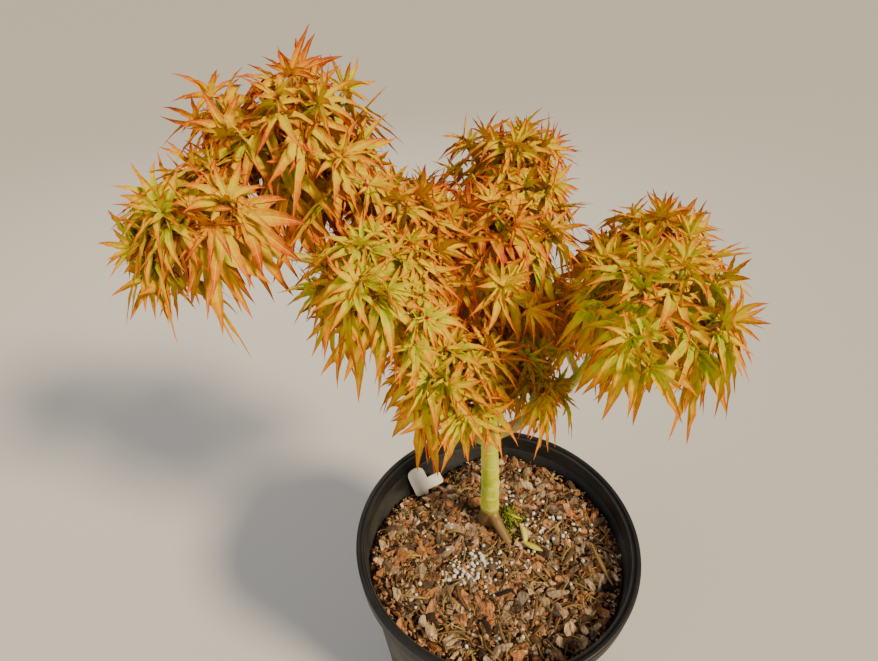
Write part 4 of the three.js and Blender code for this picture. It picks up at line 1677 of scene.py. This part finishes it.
@dataclass
class Crown:
    """All the foliage: shoots by the solids' own rule, finer sprigs on them, and sprays of leaves."""

    limbs: Limbs
    stem_length: float = 9
    stem_radius: float = 2.1
    gap: float = 0.35
    shoot_rise: float = 0.55
    inset: float = 0.3
    length_spread: Span = (0.92, 1.08)
    shoot_radii: Span = (1.9, 1.2)
    sprig_radii: Span = (1.1, 0.7)
    stalk: Span = (3, 12)
    rise_deg: Span = (76, -4)
    turn_spread: float = 0.5
    rise_spread: float = 0.3
    size_spread: Span = (0.9, 1.1)
    nod_deg: float = -20
    droop: Span = (0.2, 0.5)
    broad: Span = (0.95, 1.3)
    form_spread: Span = (0.85, 1.2)
    young_within: float = 0.3
    young_odds: float = 0.6
    shoot_pairs: int = 4
    sprig_pairs: int = 2
    shoot_sizes: Span = (0.5, 1.0)
    sprig_sizes: Span = (0.58, 0.84)
    bud_share: float = 0.16
    last_tint: int = 3
    redder_up: float = 1.6
    redder_from: float = 0.9
    tint_spread: float = 0.7
    stem_radii: Place = (2.0, 2.0, 1.9)
    stem_sunk: float = 1
    stem_waist: float = 4
    stem_past: float = 0.8
    stem_sides: int = 8
    twig_sides: int = 6
    twig_steps: int = 14
    twig_swell: float = 0.18
    bud_places: tuple[float, ...] = (-0.5, 1.0, 2.8, 4.8)
    bud_radii: tuple[float, ...] = (0.8, 1.3, 1.0, 0.15)
    first_pair: float = 0.99
    pair_span: float = 0.5
    sprig_places: tuple[float, ...] = (0.42, 0.68)
    sprig_tilt_deg: float = 56
    sprig_share: float = 0.42
    sprig_spread: Span = (0.8, 1.15)
    sprig_sag: float = 0.08
    sprig_turn_deg: float = 162
    sprig_turn_spread: float = 0.3
    maker: LeafMaker = field(default_factory=LeafMaker)

    def deal(self, mass: Mass, dice: Dice, height: float) -> int:
        """Deal a tint to a spray, redder towards the mass's top.

        Args:
            mass: The mass that it belongs to.
            dice: The random numbers.
            height: From 0 at the mass's foot to 1 at its top.

        Returns:
            The number of the tint at its lobes' roots.
        """
        tint = mass.ripeness + self.redder_up * (height - self.redder_from)
        tint += dice.normal(0, self.tint_spread)
        return int(np.clip(round(tint), 0, self.last_tint))

    def shoots_of(self, name: str, foot: np.ndarray, dice: Dice) -> list[Shoot]:
        """Give a mass's shoots, the same as its solid's.

        Args:
            name: The mass.
            foot: Where its shoots start.
            dice: The random numbers of its tints.

        Returns:
            The shoots.
        """
        mass = MASSES[name]
        random = Stream(mass.seed)
        lean = unit(np.array([*mass.lean, 1.0]))
        side, front = across_axis(lean)
        shoots = []
        for k in range(mass.shoots):
            share = 0 if k == 0 else math.sqrt((k - self.inset) / (mass.shoots - 1))
            angle = math.radians(mass.splay) * share
            way = tilted(lean, side, front, angle, mass.seed + k * GOLDEN_ANGLE)
            length = mass.lift * random.between(*self.length_spread)
            tip = foot + way * length
            bend = tip - unit(way + UP * self.shoot_rise) * length / 2
            tint = self.deal(mass, dice, (1 + float(way[2])) / 2)
            turn = random.next() * math.pi
            curve = Bend(foot, bend, tip)
            shoots.append(Shoot(curve, self.shoot_radii, turn, self.shoot_pairs, self.shoot_sizes, tint))
        return shoots

    def sprigs_of(self, shoot: Shoot, mass: Mass, dice: Dice) -> list[Shoot]:
        """Give the short side sprigs of a shoot.

        Args:
            shoot: The shoot that they spring from.
            mass: The mass that it belongs to.
            dice: The random numbers.

        Returns:
            The sprigs.
        """
        sprigs = []
        for k, place in enumerate(self.sprig_places):
            axis = shoot.curve.tangent(place)
            side, front = across_axis(axis)
            turn = shoot.turn + k * math.radians(self.sprig_turn_deg)
            turn += dice.normal(0, self.sprig_turn_spread)
            way = tilted(axis, side, front, math.radians(self.sprig_tilt_deg), turn)
            length = self.sprig_share * mass.lift * dice.uniform(*self.sprig_spread)
            start = shoot.curve.point(place)
            tip = start + way * length
            bend = (start + tip) / 2 - UP * length * self.sprig_sag
            tint = int(np.clip(shoot.tint + dice.integers(-1, 2), 0, self.last_tint))
            turn += dice.uniform(0, 1)
            curve = Bend(start, bend, tip)
            sprigs.append(Shoot(curve, self.sprig_radii, turn, self.sprig_pairs, self.sprig_sizes, tint))
        return sprigs

    def leaves_of(self, shoot: Shoot, mass: Mass, dice: Dice) -> list[Leaf]:
        """Give a shoot's leaves: opposite pairs, small and upright at the tip, hanging further down.

        Args:
            shoot: The shoot or sprig.
            mass: The mass that it belongs to.
            dice: The random numbers.

        Returns:
            The leaves.
        """
        leaves = []
        for k in range(shoot.pairs):
            share = k / (shoot.pairs - 1)
            place = self.first_pair - self.pair_span * share
            axis = shoot.curve.tangent(place)
            side, front = across_axis(axis)
            for half in (0, math.pi):
                turn = shoot.turn + k * math.pi / 2 + half + (dice.uniform() - 0.5) * self.turn_spread
                polar = math.radians(90 - mix(*self.rise_deg, share))
                polar += (dice.uniform() - 0.5) * self.rise_spread
                nod = polar - math.radians(self.nod_deg)
                young = share < self.young_within and dice.uniform() < self.young_odds
                leaves.append(Leaf(
                    node=shoot.curve.point(place),
                    way=tilted(axis, side, front, polar, turn),
                    forward=tilted(axis, side, front, nod, turn),
                    normal=tilted(axis, side, front, nod - math.pi / 2, turn),
                    stalk=mix(*self.stalk, share),
                    length=mass.leaf * mix(*shoot.sizes, share) * mix(*self.size_spread, dice.uniform()),
                    droop=mix(*self.droop, share) * dice.uniform(*self.form_spread),
                    broad=mix(*self.broad, share) * dice.uniform(*self.form_spread),
                    tint=shoot.tint + int(young),
                ))
        return leaves

    def build(self) -> None:
        """Grow each mass's leaves as a piece, then all the twigs and all the buds."""
        tints = [skin.make() for skin in LEAF_SKINS]
        twigs, buds = Shell(), Shell()
        for name, mass in MASSES.items():
            dice = np.random.default_rng(mass.seed)
            bough = self.limbs.curves[name]
            away = bough.tangent(1.0)
            start = bough.point(1.0)
            foot = start + away * (self.gap + self.stem_length)
            along = [-self.stem_sunk, self.stem_waist, self.gap + self.stem_length + self.stem_past]
            stem = start + np.outer(along, away)
            twigs.add(*tube(stem, np.array(self.stem_radii), self.stem_sides))
            shoots = self.shoots_of(name, foot, dice)
            sprays = shoots + [sprig for shoot in shoots for sprig in self.sprigs_of(shoot, mass, dice)]
            leaves = [leaf for spray in sprays for leaf in self.leaves_of(spray, mass, dice)]
            shell = Shell()
            self.maker.add_blades(shell, leaves, dice)
            self.maker.add_petioles(shell, leaves)
            piece = shell.make(f"{name}_leaves", tints, smooth=False)
            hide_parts(name)
            for spray in sprays:
                self.add_twig(twigs, spray)
                if dice.uniform() < self.bud_share:
                    self.add_bud(buds, spray)
        twigs.make("green_twigs", [TWIG.make()])
        buds.make("tip_buds", [BUD_SCALE.make()])

    def add_twig(self, shell: Shell, spray: Shoot) -> None:
        """Add a spray's twig, with a swelling at each pair of leaves.

        Args:
            shell: The piece that it goes to.
            spray: The shoot or sprig.
        """
        shares = np.linspace(0, 1, self.twig_steps)
        swells = 1 + self.twig_swell * (np.arange(self.twig_steps) % 2)
        radii = mix(*spray.radii, shares) * swells
        shell.add(*tube(spray.curve.point(shares), radii, self.twig_sides))

    def add_bud(self, shell: Shell, spray: Shoot) -> None:
        """Add the pointed bud between a spray's youngest leaves.

        Args:
            shell: The piece that it goes to.
            spray: The shoot or sprig.
        """
        tip, way = spray.curve.point(1.0), spray.curve.tangent(1.0)
        path = tip + np.outer(self.bud_places, way)
        shell.add(*tube(path, np.array(self.bud_radii), self.twig_sides))


# The studio


@dataclass(frozen=True)
class Lamp:
    """One light: where it hangs, its power, and a sun's spread in degrees or a panel's side in metres."""

    name: str
    kind: str
    at: Place
    power: float
    size: float
    colour: str

    def hang(self, aim: Place) -> None:
        """Hang the light, turned to a place.

        Args:
            aim: The place in millimetres.
        """
        lamp = bpy.data.lights.new(self.name, self.kind)
        lamp.energy = self.power
        lamp.color = linear(self.colour)[:3]
        if self.kind == "SUN":
            lamp.angle = math.radians(self.size)
        else:
            lamp.size = self.size
        holder = bpy.data.objects.new(self.name, lamp)
        holder.location = Vector(self.at) * MM
        holder.rotation_euler = (Vector(aim) * MM - holder.location).to_track_quat("-Z", "Y").to_euler()
        bpy.context.scene.collection.objects.link(holder)


LAMPS = [
    Lamp("key", "SUN", (620, -420, 1000), 4.8, 11, "#FFE6BC"),
    Lamp("fill", "AREA", (-900, -700, 800), 5, 1.1, "#F0F2FF"),
    Lamp("back", "AREA", (-250, 950, 900), 6, 0.9, "#FFF2E0"),
]


@dataclass
class Studio:
    """A plain pale floor, soft light and the camera at the photograph's place."""

    image_width: float = 878
    focal_px: float = 634
    sensor_mm: float = 36
    camera_at: Place = (-45.53, -286.2, 647.93)
    pitch_deg: float = 38.9
    floor_reach: float = 6000
    floor_drop: float = 0.2
    aim: Place = (-20, 20, 330)
    floor_colour: str = "#C9C9C6"
    floor_roughness: float = 0.9
    world_colour: str = "#E9EBEE"
    world_strength: float = 0.26

    def build(self) -> None:
        """Set up the floor, the lights, the world and the camera."""
        self.lay_floor()
        for lamp in LAMPS:
            lamp.hang(self.aim)
        self.surround()
        self.place_camera()

    def lay_floor(self) -> None:
        """Lay the pale floor that the pot stands on."""
        shell = Shell()
        corners = np.array([[-1, -1, 0], [1, -1, 0], [1, 1, 0], [-1, 1, 0]]) * self.floor_reach
        shell.add(corners, np.array([[0, 1, 2, 3]]))
        material = bpy.data.materials.new("matt_studio_floor")
        material.use_nodes = True
        shader = material.node_tree.nodes["Principled BSDF"]
        shader.inputs["Base Color"].default_value = linear(self.floor_colour)
        shader.inputs["Roughness"].default_value = self.floor_roughness
        floor = shell.make("studio_floor", [material], smooth=False)
        floor.location.z = -self.floor_drop * MM

    def surround(self) -> None:
        """Fill the surroundings with even pale light."""
        world = bpy.data.worlds.new("studio_surround")
        world.use_nodes = True
        background = world.node_tree.nodes["Background"]
        background.inputs["Color"].default_value = linear(self.world_colour)
        background.inputs["Strength"].default_value = self.world_strength
        bpy.context.scene.world = world

    def place_camera(self) -> None:
        """Put the camera where the photograph was taken from."""
        camera = bpy.data.cameras.new("photo_camera")
        camera.sensor_width = self.sensor_mm
        camera.lens = self.focal_px / self.image_width * self.sensor_mm
        holder = bpy.data.objects.new("photo_camera", camera)
        holder.location = Vector(self.camera_at) * MM
        holder.rotation_euler = (math.radians(90 - self.pitch_deg), 0, 0)
        bpy.context.scene.collection.objects.link(holder)
        bpy.context.scene.camera = holder


def main() -> None:
    """Build the studio and the plant in order."""
    logging.basicConfig(level=logging.INFO, format="%(name)s %(message)s")
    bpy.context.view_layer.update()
    Studio().build()
    pot = NurseryPot()
    pot.build()
    soil = Soil(pot)
    soil.build()
    for litter in (BarkMulch(soil), Prills(soil), Straw(soil), Moss(soil)):
        litter.build()
    PlantLabel().dress()
    limbs = Limbs()
    limbs.build()
    Crown(limbs).build()


if __name__ == "__main__":
    main()
